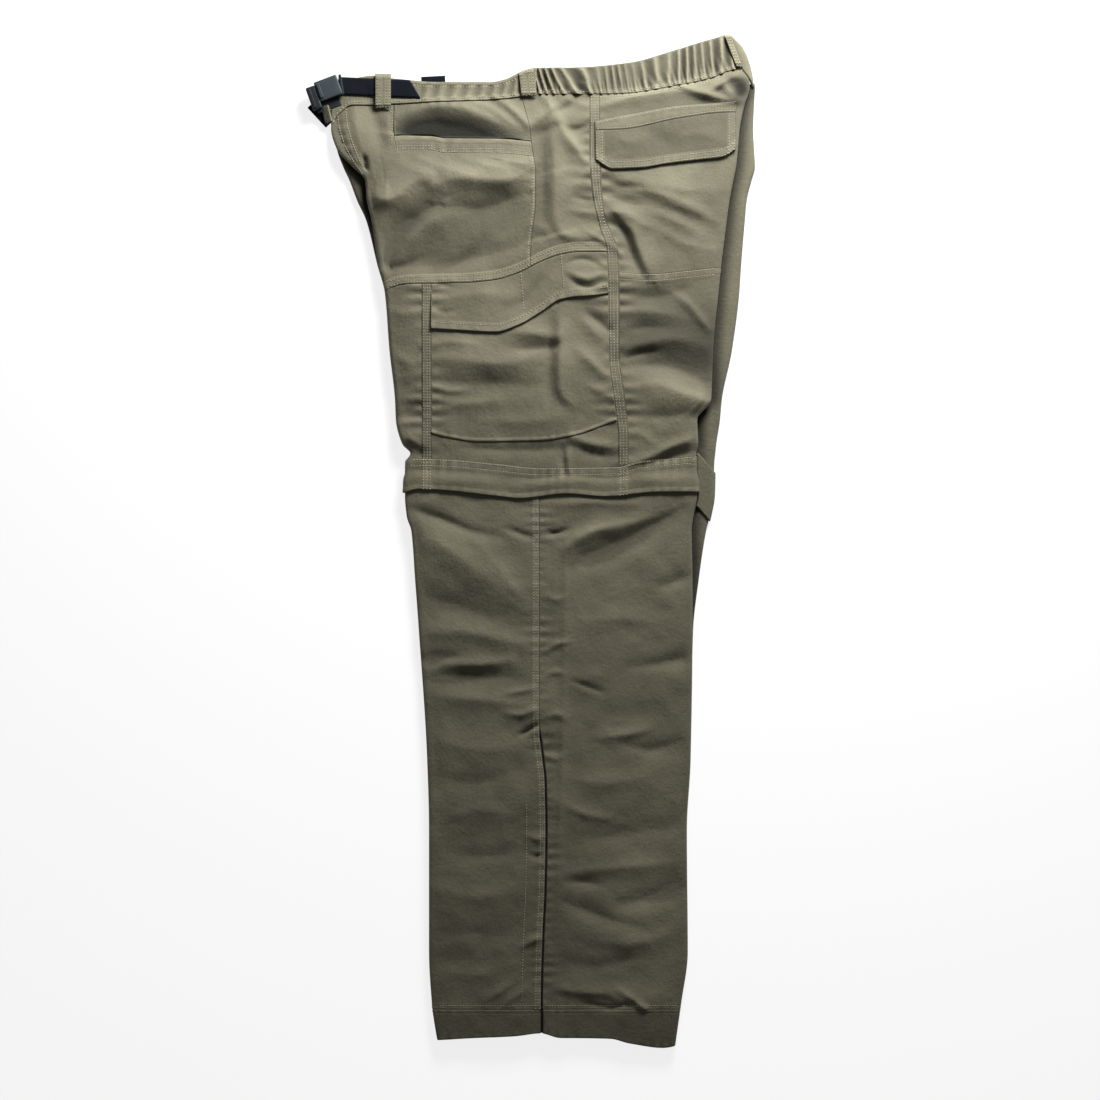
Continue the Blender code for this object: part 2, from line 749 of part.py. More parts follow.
def right_hem(finish, home):
    """Hem of the leg below: a closed flat ring on the floor."""
    sections = []

    def slice_at(x_part, z_turn, side):
        inner = []
        outer = []
        for row in range(HEM_ROWS + 1):
            beside = RIGHT_HEM_MIDDLE if side == 0 else side * RIGHT_HEM_SIDE
            bottom = hem_edge(beside) + RIGHT_HEM_INSET
            y = bottom + (LEG_END - SEAM_GAP - bottom) * row / HEM_ROWS
            high = split_height(0.0, y)
            left_x = under_left_edge(y) + UNDER_ROLL
            right_x = under_right_edge(y) - UNDER_ROLL
            if side == 0:
                x = left_x + (right_x - left_x) * x_part
                outer.append(Vector((x, y, high if z_turn else 0.0)) * MM)
                inner.append(Vector((x, y, high - CLOTH if z_turn else CLOTH)) * MM)
                continue
            turn = math.pi * z_turn
            centre = right_x if side > 0 else left_x
            for points, wall in ((outer, 0.0), (inner, CLOTH)):
                reach = side * (UNDER_ROLL - wall) * math.sin(turn)
                lift = 0.5 * high - (0.5 * high - wall) * math.cos(turn)
                points.append(Vector((centre + reach, y, lift)) * MM)
        sections.append(wall_section(inner, outer))

    for step in range(1, RIGHT_HEM_STEPS):
        slice_at(step / RIGHT_HEM_STEPS, 0.0, 0)
    for step in range(ROLL_STEPS + 1):
        slice_at(1.0, step / ROLL_STEPS, 1)
    for step in range(1, RIGHT_HEM_STEPS):
        slice_at(1.0 - step / RIGHT_HEM_STEPS, 1.0, 0)
    for step in range(ROLL_STEPS + 1):
        slice_at(0.0, 1.0 - step / ROLL_STEPS, -1)
    return loft("right_hem", sections, finish, home, closed=True)


def right_knee_band(finish, home):
    """The band over the lower leg's knee zip, where it shows past the back edge of the top leg."""
    sections = []
    for row in range(UNDER_BAND_ROWS + 1):
        y = UNDER_BAND_LOW + (UNDER_BAND_HIGH - UNDER_BAND_LOW) * row / UNDER_BAND_ROWS
        centre = under_right_edge(y) - UNDER_ROLL
        half = 0.5 * split_height(centre, y)
        edge_x = right_edge(y) + UNDER_BAND_INSET
        inner = []
        outer = []
        for points, lift in ((inner, LAY_GAP), (outer, LAY_GAP + CLOTH)):
            points += arc(centre, half, UNDER_ROLL + lift, half + lift, UNDER_BAND_START, 1.0,
                          UNDER_BAND_STEPS)
            points.append((edge_x, 2.0 * half + lift))
        section = wall_section(inner, outer)
        sections.append([Vector((x, y, z)) * MM for x, z in section])
    return loft("right_knee_band", sections, finish, home)


def ruffle(x):
    """The elastic's gathers along the back waistband."""
    part = (x - ELASTIC_START) / (CENTRE_BACK - ELASTIC_START)
    drift = 0.35 * math.sin(5.3 * part * math.pi)
    size = 0.75 + 0.25 * math.sin(9.0 * part + 1.0)
    return RUFFLE_HEIGHT * size * math.cos(2.0 * math.pi * (RUFFLES * part + drift))


def waistband_right(finish, home):
    """The right half of the waistband: round the centre back and along the floor."""
    sections = []

    def add(route):
        inner = [route(row / WAIST_ROWS, 0.0) for row in range(WAIST_ROWS + 1)]
        outer = [route(row / WAIST_ROWS, BAND) for row in range(WAIST_ROWS + 1)]
        sections.append(wall_section(inner, outer))

    def round_back(turn_part):
        def route(part, lift):
            turn = math.pi * turn_part
            start = CENTRE_BACK + SEAM_GAP
            y_low = waist_seam(start + RIGHT_BAND_TURN_DROP * math.sin(turn)) + 2.0 * SEAM_GAP
            y = y_low + (waist_top(start) - y_low) * part
            top = cloth_height(start, y)
            reach = under_right_edge(y) - start - BAND
            x = start + (reach + lift) * math.sin(turn)
            middle = 0.5 * (top + BAND)
            z = middle + (0.5 * (top - BAND) + lift) * math.cos(turn)
            return Vector((x, y, z)) * MM
        return route

    def along_floor(x):
        def route(part, lift):
            y_low = waist_line(x) + SEAM_GAP
            inward = smooth_step((CENTRE_BACK - x) / RIGHT_BAND_DROP_REACH)
            y_high = waist_top(x) - RIGHT_BAND_DROP * inward
            y = y_low + (y_high - y_low) * part
            return Vector((x, y, BAND - lift)) * MM
        return route

    for step in range(RIGHT_BAND_TURN_STEPS + 1):
        add(round_back(step / RIGHT_BAND_TURN_STEPS))
    for step in range(1, RIGHT_BAND_COLUMNS + 1):
        add(along_floor(CENTRE_BACK + (RIGHT_BAND_END - CENTRE_BACK) * step / RIGHT_BAND_COLUMNS))
    return loft("waistband_right", sections, finish, home)


def rounded_slab(name, size, corner, place, turns, finish, home):
    """A bar with rounded edges, set by its centre and its turns about X, Y and Z."""
    body = bmesh.new()
    bmesh.ops.create_cube(body, size=1.0, matrix=Matrix.Diagonal((*(s * MM for s in size), 1.0)))
    bmesh.ops.bevel(body, geom=body.edges[:], offset=corner * MM, segments=2, profile=0.5,
                    affect="EDGES", clamp_overlap=True)
    item = add_object(name, body, finish, home)
    item.location = Vector(place) * MM
    item.rotation_euler = [math.radians(turn) for turn in turns]
    return item


def cut(item, size, place, turn, trim_home):
    """Cuts a box-shaped slot in an object, at a place in the world."""
    body = bmesh.new()
    bmesh.ops.create_cube(body, size=1.0, matrix=Matrix.Diagonal((*(s * MM for s in size), 1.0)))
    mesh = bpy.data.meshes.new("slot_cutter")
    body.to_mesh(mesh)
    body.free()
    cutter = bpy.data.objects.new("slot_cutter", mesh)
    cutter.location = Vector(place) * MM
    cutter.rotation_euler = (0.0, 0.0, math.radians(turn))
    cutter.hide_render = True
    cutter.display_type = "WIRE"
    trim_home.objects.link(cutter)
    boolean = item.modifiers.new("slot", "BOOLEAN")
    boolean.operation = "DIFFERENCE"
    boolean.object = cutter


def belt_line(x):
    """Middle of the belt webbing over the front waistband."""
    return BELT_MIDDLE_Y + (x - BELT_MIDDLE_X) * BELT_SLANT


def belt_loop(name, line, half, bottom, top, peak, finish, home):
    """A belt loop: flat at both ends and arched over the belt between them."""
    places = columns_across(moved(line, -half), moved(line, half), 2)

    def lift(point):
        x, y = point
        part = (y - bottom(x)) / (top(x) - bottom(x))
        rise = smooth_step(part / LOOP_RAMP) * smooth_step((1.0 - part) / LOOP_RAMP)
        return BAND + LAY_GAP + peak * rise

    return sheet(name, places, bottom, top, LOOP_ROWS, finish, home, lift)


def build():
    """Models every piece of the garment."""
    clear_scene()
    home = bpy.data.collections.new(COLLECTION)
    trim_home = bpy.data.collections.new("cutters")
    bpy.context.scene.collection.children.link(home)
    bpy.context.scene.collection.children.link(trim_home)
    half = 0.5 * SEAM_GAP

    def cloth(name, colour=OLIVE):
        return material(name + "_cloth", colour)

    hidden_layers(cloth("hidden_layers", OLIVE_INSIDE), home)

    # Front of the thigh, with the hip pocket let into it
    def front_top(x):
        ramp = (x - POCKET_SIDE[0].x) / (POCKET_SIDE[1].x - POCKET_CORNER - POCKET_SIDE[0].x)
        ramp = min(1.0, max(0.0, ramp))
        return (waist_seam(x) - half) * (1.0 - ramp) + (pocket_edge(x) - half) * ramp

    sheet("front_panel", columns_across("front", moved(front_seam, -half), FRONT_PARTS),
          moved(cargo_seam, half), front_top, 13, cloth("front_panel"), home)
    sheet("front_pocket_facing",
          columns_across(moved(pocket_side, FACING_SIDE_GAP), moved(front_seam, -half), 12),
          moved(pocket_edge, FACING_BASE_GAP), moved(waist_seam, -half), 5,
          cloth("front_pocket_facing", OLIVE_LIGHT), home)
    sheet("front_pocket_hem",
          columns_across(steady(POCKET_LEFT), moved(front_seam, -POCKET_CORNER), 12),
          moved(pocket_edge, -POCKET_HEM), moved(pocket_edge, -FACING_BASE_GAP), 2,
          cloth("front_pocket_hem", OLIVE_LIGHT), home, steady(CLOTH + LAY_GAP))
    sheet("side_panel", columns_across(moved(front_seam, half), moved(side_seam, -half), 6),
          moved(cargo_seam, half), moved(waist_seam, -half), 13, cloth("side_panel"), home)

    # Felled seams with three rows of stitching
    sheet("side_fell", columns_across(moved(side_seam, half), moved(side_fell, -half), 1),
          moved(knee_seam, half), moved(waist_seam, -half), 30,
          cloth("side_fell", OLIVE_LIGHT), home, wall=FELL)
    sheet("front_fell", columns_across(steady(FRONT_FELL_LEFT + half),
                                       steady(FRONT_FELL_RIGHT - half), 1),
          moved(knee_seam, half), moved(cargo_seam, -half), 14,
          cloth("front_fell", OLIVE_LIGHT), home, wall=FELL)

    # Seat, with the welted back pocket
    sheet("seat_panel", columns_across(moved(side_fell, half), "back", 10),
          moved(seat_seam, SEAT_GAP), moved(waist_seam, -half), 14, cloth("seat_panel"), home)
    flap_places = columns_across(moved(side_fell, BACK_POCKET_START), steady(BACK_POCKET_END), 12)
    sheet("back_pocket_welt", flap_places, moved(welt_base, half), welt_top, 1,
          cloth("back_pocket_welt", OLIVE_LIGHT), home, steady(FELL + LAY_GAP))
    sheet("back_pocket_flap", flap_places, back_flap_edge, moved(welt_base, -half), 3,
          cloth("back_pocket_flap", OLIVE_LIGHT), home, steady(FELL + LAY_GAP), FLAP)
    sheet("thigh_back_panel", columns_across(moved(side_fell, half), "back", 7),
          moved(knee_seam, half), moved(seat_seam, -SEAT_GAP), 14, cloth("thigh_back_panel"), home)

    # Front of the thigh below the cargo seam, and the cargo pocket
    sheet("thigh_front_panel", columns_across("front", steady(FRONT_FELL_LEFT - half), 3),
          moved(knee_seam, half), moved(cargo_seam, -half), 15, cloth("thigh_front_panel"), home)
    pocket_places = columns_across(steady(FRONT_FELL_RIGHT + half), moved(side_seam, -half), 14)
    pocket_top = moved(flap_edge, POCKET_OVERLAP)
    sheet("cargo_pocket", pocket_places, moved(cargo_base, half), pocket_top, 10,
          cloth("cargo_pocket"), home)
    sheet("thigh_side_panel", pocket_places, moved(knee_seam, half), moved(cargo_base, -half), 3,
          cloth("thigh_side_panel"), home)

    sheet("cargo_flap", pocket_places, flap_edge, moved(cargo_seam, -SEAT_GAP), 5,
          cloth("cargo_flap", OLIVE_LIGHT), home, lift_over(pocket_top), FLAP)

    # The band that covers the zip round the knee
    leg_top = moved(knee_edge, OVERLAP)
    sheet("knee_band", columns_across("front", "back", 20, turned=KNEE_BAND_TURN),
          knee_edge, moved(knee_seam, -half), 4,
          cloth("knee_band", OLIVE_LIGHT), home, lift_over(leg_top), FLAP)

    # Lower leg, zipped off at the knee, with the ankle zip in its outer seam
    seam_room = 0.5 * ZIP_WIDTH + ZIP_ROOM

    def seam_side(sign):
        def line(y):
            room = half + (seam_room - half) * smooth_step((ZIP_TOP + ZIP_EASE - y) / ZIP_TURN)
            return outer_seam(y) + sign * room
        return line

    sheet("shin_front_panel", columns_across("front", seam_side(-1.0), 7),
          steady(LEG_END), leg_top, 24, cloth("shin_front_panel"), home)
    sheet("shin_back_panel", columns_across(seam_side(1.0), "back", 8),
          steady(LEG_END), leg_top, 24, cloth("shin_back_panel"), home)
    sheet("ankle_zip", columns_across(moved(outer_seam, -0.5 * ZIP_WIDTH),
                                      moved(outer_seam, 0.5 * ZIP_WIDTH), 1),
          steady(ZIP_END), steady(ZIP_TOP - ZIP_HIDDEN), 16, material("zip_tape", ZIP_BLACK, 0.6),
          home, wall=ZIP_WALL)
    left_hem(cloth("left_hem"), home)
    right_hem(cloth("right_hem", OLIVE_DARK), home)
    right_knee_band(cloth("right_knee_band", OLIVE_DARK), home)

    # Waistband
    def band_base(x):
        corner = smooth_step((BAND_CORNER_START - x) / BAND_CORNER_REACH)
        return waist_seam(x) + BAND_GAP + BAND_CORNER_GAP * corner

    sheet("waistband_front", columns_across(steady(CENTRE_FRONT), steady(ELASTIC_START - half),
                                            FRONT_PARTS),
          band_base, waist_top, 3, cloth("waistband_front", OLIVE_LIGHT), home,
          wall=BAND)

    def gathers(point):
        x, y = point
        part = (y - waist_seam(x)) / (waist_top(x) - waist_seam(x))
        return ruffle(x) * (0.55 + 0.45 * math.cos((part - 0.35) * math.pi))

    sheet("waistband_elastic", columns_across(steady(ELASTIC_START + half), steady(CENTRE_BACK),
                                              RUFFLES * RUFFLE_COLUMNS),
          moved(waist_seam, half), waist_top, 2,
          cloth("waistband_elastic", OLIVE_LIGHT), home, gathers, BAND)
    waistband_right(cloth("waistband_right", OLIVE_DARK), home)

    # Belt, loops, buckle and tab
    sheet("belt_webbing", columns_across(steady(BELT_START), steady(BELT_END), 10),
          lambda x: belt_line(x) - BELT_HALF, lambda x: belt_line(x) + BELT_HALF, 2,
          material("belt_webbing", BELT_BLACK, 0.7), home, steady(BAND + LAY_GAP), WEBBING)
    rounded_slab("belt_webbing_lower", LOWER_BELT, BELT_CORNER, LOWER_BELT_PLACE, LOWER_BELT_TURNS,
                 material("belt_webbing_lower", BELT_BLACK, 0.7), home)
    rounded_slab("belt_tail", BELT_TAIL, BELT_CORNER, BELT_TAIL_PLACE, BELT_TAIL_TURNS,
                 material("belt_tail", BELT_BLACK, 0.7), home)
    loop_top = moved(waist_top, -LOOP_TOP_GAP)
    belt_loop("belt_loop_front", steady(FRONT_LOOP_X), FRONT_LOOP_HALF, steady(FRONT_LOOP_SPAN[0]),
              steady(FRONT_LOOP_SPAN[1]), FRONT_LOOP_PEAK,
              cloth("belt_loop_front", OLIVE_LIGHT), home)
    belt_loop("belt_loop_side", slanting(SIDE_LOOP_X, SIDE_LOOP_Y, SIDE_LOOP_SLANT), SIDE_LOOP_HALF,
              steady(SIDE_LOOP_BASE), loop_top, LOOP_PEAK,
              cloth("belt_loop_side", OLIVE_LIGHT), home)
    belt_loop("belt_loop_back", slanting(BACK_LOOP_X, BACK_LOOP_Y, BACK_LOOP_SLANT), BACK_LOOP_HALF,
              steady(BACK_LOOP_BASE), loop_top, LOOP_PEAK,
              cloth("belt_loop_back", OLIVE_LIGHT), home)
    plate = rounded_slab("buckle_plate", BUCKLE_PLATE, BUCKLE_PLATE_CORNER, BUCKLE_PLATE_PLACE,
                         (0.0, BUCKLE_TILT, BUCKLE_TURN),
                         material("buckle_plate", BUCKLE_GREY, 0.4), home)
    cut(plate, BUCKLE_PLATE_SLOT, BUCKLE_PLATE_SLOT_PLACE, BUCKLE_TURN, trim_home)
    frame = rounded_slab("buckle_frame", BUCKLE_FRAME, BUCKLE_FRAME_CORNER, BUCKLE_FRAME_PLACE,
                         (0.0, 0.0, BUCKLE_TURN), material("buckle_frame", BUCKLE_DARK, 0.45), home)
    cut(frame, BUCKLE_FRAME_SLOT, BUCKLE_FRAME_SLOT_PLACE, BUCKLE_TURN, trim_home)
    rounded_slab("waist_tab", WAIST_TAB, WAIST_TAB_CORNER, WAIST_TAB_PLACE, WAIST_TAB_TURNS,
                 cloth("waist_tab", OLIVE_LIGHT), home)


build()
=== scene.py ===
"""The looks of a pair of zip-off trousers, folded in half and laid flat on a pale floor.

Lengths are in millimetres until a mesh is made. +Y runs from the hems to the waist, +X from the front
edge to the back edge and +Z up. The left leg lies on top, with its outer side up.
"""
import logging
import math
from dataclasses import dataclass, field
from enum import Enum
from typing import Callable, NamedTuple

import bmesh
import bpy
import numpy as np
from mathutils import Matrix, Vector


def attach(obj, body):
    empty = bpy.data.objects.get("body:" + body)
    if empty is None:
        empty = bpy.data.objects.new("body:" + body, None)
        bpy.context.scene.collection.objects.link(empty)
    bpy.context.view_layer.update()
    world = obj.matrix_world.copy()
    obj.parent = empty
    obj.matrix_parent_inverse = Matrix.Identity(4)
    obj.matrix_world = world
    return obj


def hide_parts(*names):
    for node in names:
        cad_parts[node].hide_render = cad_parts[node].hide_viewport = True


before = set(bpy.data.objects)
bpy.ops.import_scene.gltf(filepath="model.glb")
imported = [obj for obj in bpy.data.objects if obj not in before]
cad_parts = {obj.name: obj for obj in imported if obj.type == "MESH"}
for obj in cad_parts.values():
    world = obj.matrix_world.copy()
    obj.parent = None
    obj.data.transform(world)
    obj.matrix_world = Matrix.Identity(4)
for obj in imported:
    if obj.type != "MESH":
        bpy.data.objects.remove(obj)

LOG = logging.getLogger("trousers")
MM = 0.001
# A full turn in radians
FULL_TURN = 6.2832
# Wear and painted shade: the value in the deepest hollow (painted shade) and on the sharpest ridge (wear and
# painted highlight), and what a millimetre of sewn relief adds to it
WEAR_AND_SHADE_LOW = -2.0
WEAR_AND_SHADE_HIGH = 1.0
RELIEF_WEAR_AND_SHADE = 2.0
# How often a mesh is laid out again, until its two sets of edges agree
LAYOUTS = 9

Array = np.ndarray
Line = Callable[[Array], Array]
Lift = Callable[[Array, Array], Array]


class Section(NamedTuple):
    """The garment's outline at one height: the top leg's edges, then the lower leg's."""

    y: float
    left: float
    right: float
    under_left: float
    under_right: float


OUTLINE = (
    Section(548, -215, 230, -213, 237),
    Section(512, -215, 233, -213, 238),
    Section(491, -215, 235, -213, 241),
    Section(470, -217, 229, -213, 240),
    Section(446, -218, 224, -215, 239),
    Section(424, -212, 222, -212, 240),
    Section(404, -195, 220, -205, 241),
    Section(389, -181, 217, -198, 237),
    Section(368, -179, 213, -190, 232),
    Section(346, -174, 210, -180, 230),
    Section(298, -167, 204, -168, 226),
    Section(268, -159, 201, -160, 224),
    Section(206, -154, 195, -155, 216),
    Section(152, -148, 193, -149, 205),
    Section(130, -147, 178, -148, 203),
    Section(104, -140, 179, -141, 199),
    Section(94, -132, 177, -132, 198),
    Section(85, -137, 177, -137, 197),
    Section(49, -138, 178, -137, 196),
    Section(26, -136, 174, -136, 192),
    Section(10, -131, 172, -131, 188),
    Section(-43, -127, 173, -127, 180),
    Section(-97, -123, 173, -123, 174),
    Section(-237, -114, 171, -114, 171),
    Section(-313, -112, 167, -112, 167),
    Section(-445, -112, 168, -112, 168),
    Section(-500, -109, 161, -109, 161),
    Section(-549, -102, 154, -102, 154),
)


class Stack(NamedTuple):
    """Heights of the folded layers at one level: the top cloth's underside and the lower leg's top."""

    level: float
    crown: float
    split: float


STACK = (
    Stack(-550, 7.7, 3.9),
    Stack(-480, 9.0, 4.3),
    Stack(-300, 10.2, 4.7),
    Stack(0, 11.4, 5.2),
    Stack(60, 12.6, 5.8),
    Stack(130, 15.0, 6.8),
    Stack(250, 16.6, 7.6),
    Stack(350, 16.8, 7.6),
    Stack(410, 15.2, 6.8),
    Stack(438, 12.2, 5.4),
    Stack(456, 8.6, 4.0),
    Stack(470, 6.4, 2.9),
    Stack(500, 6.0, 2.6),
    Stack(550, 5.8, 2.6),
)


@dataclass(frozen=True)
class Crease:
    """A soft ridge or trough of the cloth along a curved path of (x, y, height).

    The left breadth is that of its side on the left hand along the path. In a panel's shades the height is
    painted shade where it is below zero and painted highlight where it is above zero.
    """

    path: tuple[tuple[float, float, float], ...]
    left: float
    right: float
    power: float = 1.55
    reach: float = 3.0
    steps: int = 5

    def curve(self) -> Array:
        """Returns the path rounded off through its points."""
        ends = [self.path[0], *self.path, self.path[-1]]
        found = []
        for before, near, far, after in zip(ends, ends[1:], ends[2:], ends[3:]):
            p0, p1, p2, p3 = (np.array(knot) for knot in (before, near, far, after))
            for step in range(self.steps):
                t = step / self.steps
                found.append(0.5 * (2.0 * p1 + (p2 - p0) * t + (2.0 * p0 - 5.0 * p1 + 4.0 * p2 - p3) * t ** 2
                                    + (3.0 * p1 - p0 - 3.0 * p2 + p3) * t ** 3))
        return np.array([*found, self.path[-1]])

    def add_to(self, total: Array, x: Array, y: Array) -> None:
        """Adds the crease to the heights.

        Args:
            total: the heights, changed in place.
            x: places along X.
            y: places along Y.
        """
        knots = self.curve()
        reach = self.reach * max(self.left, self.right)
        low, high = knots.min(axis=0) - reach, knots.max(axis=0) + reach
        near = (x > low[0]) & (x < high[0]) & (y > low[1]) & (y < high[1])
        if not near.any():
            return
        at_x, at_y = x[near], y[near]
        best = np.full(at_x.shape, 1e9)
        height, breadth = np.zeros(at_x.shape), np.ones(at_x.shape)
        for first, last in zip(knots, knots[1:]):
            way = last - first
            part = ((at_x - first[0]) * way[0] + (at_y - first[1]) * way[1]) / (way[0] ** 2 + way[1] ** 2)
            part = np.clip(part, 0.0, 1.0)
            off_x, off_y = at_x - first[0] - part * way[0], at_y - first[1] - part * way[1]
            far = np.hypot(off_x, off_y)
            closer = far < best
            best = np.where(closer, far, best)
            height = np.where(closer, first[2] + part * way[2], height)
            side = way[0] * off_y - way[1] * off_x
            breadth = np.where(closer, np.where(side > 0.0, self.left, self.right), breadth)
        total[near] += height * np.exp(-(best / breadth) ** self.power)


FRONT_CREASES = (
    Crease(((-160, 366, 1.2), (-110, 376, 2.0), (-50, 380, 2.2), (0, 392, 1.0)), 22, 58),
    Crease(((-152, 294, -1.2), (-80, 302, -2.0), (-10, 320, -1.4)), 52, 9),
    # the lobe over the front of the thigh, and the hollow below it
    Crease(((-176, 373, 0.6), (-160, 367, 3.8), (-147, 370, 3.6), (-132, 383, 3.2), (-117, 389, 2.8),
            (-103, 384, 2.4), (-88, 389, 3.0), (-60, 389, 4.0), (-32, 388, 3.8), (-16, 392, 2.4),
            (0, 404, 0.8)), 19, 10),
    Crease(((-160, 300, -2.6), (-148, 322, -3.2), (-133, 342, -3.2), (-116, 356, -2.0),
            (-104, 362, -1.0)), 16, 7),
    Crease(((-150, 297, 0.8), (-137, 318, 1.9), (-121, 335, 2.1), (-103, 346, 1.6), (-86, 350, 0.5)),
           7, 14),
    Crease(((-82, 360, -1.4), (-56, 357, -2.6), (-30, 366, -2.2), (-10, 374, -0.9)), 10, 24),
    Crease(((-102, 290, -0.5), (-80, 297, -1.5), (-66, 309, -1.5), (-54, 323, -0.5)), 7, 9),
    Crease(((-152, 294, -1.0), (-135, 298, -1.3), (-117, 306, -0.5)), 5, 7),
    Crease(((-30, 409, 1.0), (-12, 406, 1.7), (2, 405, 1.1)), 10, 6),
    Crease(((-124, 413, 0.6), (-96, 401, 1.3), (-68, 393, 0.9)), 8, 7),
    Crease(((-76, 412, 0.4), (-46, 403, 1.0), (-18, 399, 0.5)), 7, 6),
    Crease(((-140, 405, 0.3), (-118, 396, 0.9), (-96, 392, 0.4)), 7, 6),
    # beside the fly
    Crease(((-194, 470, 0.8), (-190, 442, 1.8), (-182, 415, 0.8)), 10, 9),
    Crease(((-177, 474, -0.8), (-170, 455, -1.8), (-166, 436, -1.3), (-164, 418, -0.4)), 8, 7),
    Crease(((-181, 412, -2.4), (-180, 402, -2.4)), 2.5, 2.5),
    Crease(((-158, 462, 0.3), (-156, 445, 0.9), (-155, 428, 0.4)), 5, 4),
    Crease(((-206, 462, 0.3), (-204, 448, 0.8), (-198, 428, 0.8), (-190, 409, 0.5)), 4, 4),
    Crease(((-212, 452, -0.2), (-206, 450, -0.8), (-200, 453, -0.2)), 1.6, 1.6),
    Crease(((-210, 440, -0.2), (-205, 438, -0.8), (-198, 441, -0.2)), 1.6, 1.6),
    Crease(((-206, 430, -0.2), (-201, 427, -0.8), (-195, 430, -0.2)), 1.6, 1.6),
    Crease(((-199, 418, -0.2), (-195, 415, -0.8), (-190, 418, -0.2)), 1.6, 1.6),
    # the hip pocket's facing bulges over its mouth
    Crease(((-142, 458, 0.8), (-121, 466, 2.8), (-100, 469, 3.5), (-75, 466, 3.4), (-52, 458, 2.9),
            (-32, 447, 1.9), (-13, 437, 0.6)), 11, 12),
    Crease(((-150, 441, -1.6), (-115, 438, -3.2), (-82, 437, -3.4), (-46, 436, -2.6), (-14, 433, -0.8)),
           15, 1.2),
    Crease(((-39, 479, 0.8), (-24, 467, 2.0), (-12, 456, 2.0), (-4, 447, 0.8)), 5, 5),
    Crease(((-72, 476, 0.3), (-45, 467, 1.1), (-26, 453, 1.1), (-14, 443, 0.4)), 4, 4),
)
SIDE_CREASES = (
    Crease(((24, 464, 1.2), (35, 441, 2.9), (49, 421, 2.6), (61, 404, 1.2)), 4.5, 9),
    Crease(((34, 447, -1.0), (44, 443, -2.4), (57, 447, -1.3)), 4, 6),
    Crease(((22, 462, -1.2), (38, 469, -1.8), (51, 480, -1.0)), 3.5, 4),
    Crease(((19, 448, 0.8), (23, 420, 2.0), (24, 380, 2.1), (24, 345, 1.6), (32, 330, 1.2),
            (46, 323, 0.4)), 17, 6),
    Crease(((10, 430, -0.5), (12, 380, -1.1), (12, 345, -0.5)), 4, 7),
    Crease(((46, 370, -0.6), (58, 367, -1.6), (65, 367, -1.2)), 3.5, 3.5),
    Crease(((40, 356, 0.3), (55, 353, 0.9), (66, 354, 0.6)), 3.5, 3.5),
    Crease(((26, 338, 0.4), (37, 328, 1.0), (56, 326, 0.9), (74, 330, 0.3)), 8, 4),
    Crease(((57, 333, 0.5), (69, 327, 1.4), (79, 321, 0.7)), 4, 3),
    Crease(((-2, 447, 0.8), (8, 455, 1.9), (20, 464, 1.6)), 7, 5),
    Crease(((2, 438, -0.9), (11, 441, -1.8), (19, 446, -1.1)), 5, 7),
    Crease(((4, 484, 0.4), (16, 476, 1.2), (22, 464, 0.8)), 4, 4),
    Crease(((28, 482, 0.3), (40, 476, 1.0), (58, 470, 0.6)), 4, 5),
    Crease(((-2, 340, 0.3), (12, 335, 0.9), (22, 326, 0.5)), 5, 5),
    Crease(((60, 395, 0.6), (48, 385, 1.0), (40, 372, 0.4)), 5, 6),
)
SEAT_CREASES = (
    Crease(((70, 467, 0.6), (90, 474, 2.2), (110, 479, 2.4), (135, 482, 1.8), (165, 485, 1.3),
            (190, 482, 0.6)), 6, 9),
    Crease(((158, 491, 1.2), (180, 483, 2.9), (200, 478, 3.2), (221, 473, 1.8)), 5, 3.4),
    Crease(((206, 494, 1.0), (213, 484, 2.8), (221, 475, 1.8)), 3.4, 3.4),
    Crease(((188, 484, 0.8), (203, 493, 2.6), (215, 500, 2.4), (227, 500, 1.2)), 4, 4),
    Crease(((214, 496, -2.2), (224, 486, -3.0), (222, 475, -2.0)), 8, 8),
    Crease(((192, 486, -1.2), (202, 484, -2.2), (212, 478, -1.2)), 4, 4),
    # below the pocket flap
    Crease(((84, 394, 0.8), (115, 386, 2.2), (150, 380, 2.5), (194, 376, 1.4)), 18, 12),
    Crease(((110, 379, 0.5), (135, 373, 1.5), (165, 363, 1.3), (192, 352, 0.5)), 6, 6),
    Crease(((138, 366, 0.4), (165, 358, 1.2), (197, 344, 0.5)), 5, 5),
    Crease(((120, 357, 0.4), (150, 346, 1.2), (182, 330, 0.6)), 6, 7),
    Crease(((80, 388, -0.5), (95, 382, -1.4), (116, 381, -0.5)), 4, 5),
    Crease(((80, 372, -0.8), (96, 366, -1.8), (118, 360, -0.8)), 7, 8),
    Crease(((132, 340, 0.3), (160, 322, 1.0), (196, 312, 0.5)), 7, 7),
    Crease(((74, 350, 0.5), (88, 354, 1.6), (102, 351, 1.6), (118, 342, 0.9), (136, 330, 0.4)), 12, 6),
    Crease(((79, 341, -0.8), (91, 341, -1.6), (100, 331, -1.9), (106, 314, -1.9), (113, 297, -1.4),
            (121, 282, -0.6)), 4, 8),
    Crease(((98, 344, 1.2), (108, 334, 2.5), (114, 317, 2.7), (121, 299, 2.2), (129, 283, 0.8)), 18, 5.5),
    Crease(((84, 318, 0.3), (93, 312, 0.9), (99, 300, 0.3)), 3, 3),
    # on the pocket flap
    Crease(((82, 436, 0.3), (104, 430, 0.8), (124, 436, 0.3)), 9, 8),
    Crease(((118, 446, -0.3), (136, 434, -0.7), (150, 424, -0.3)), 8, 8),
    Crease(((160, 436, 0.3), (182, 438, 0.8), (206, 430, 0.3)), 7, 7),
)
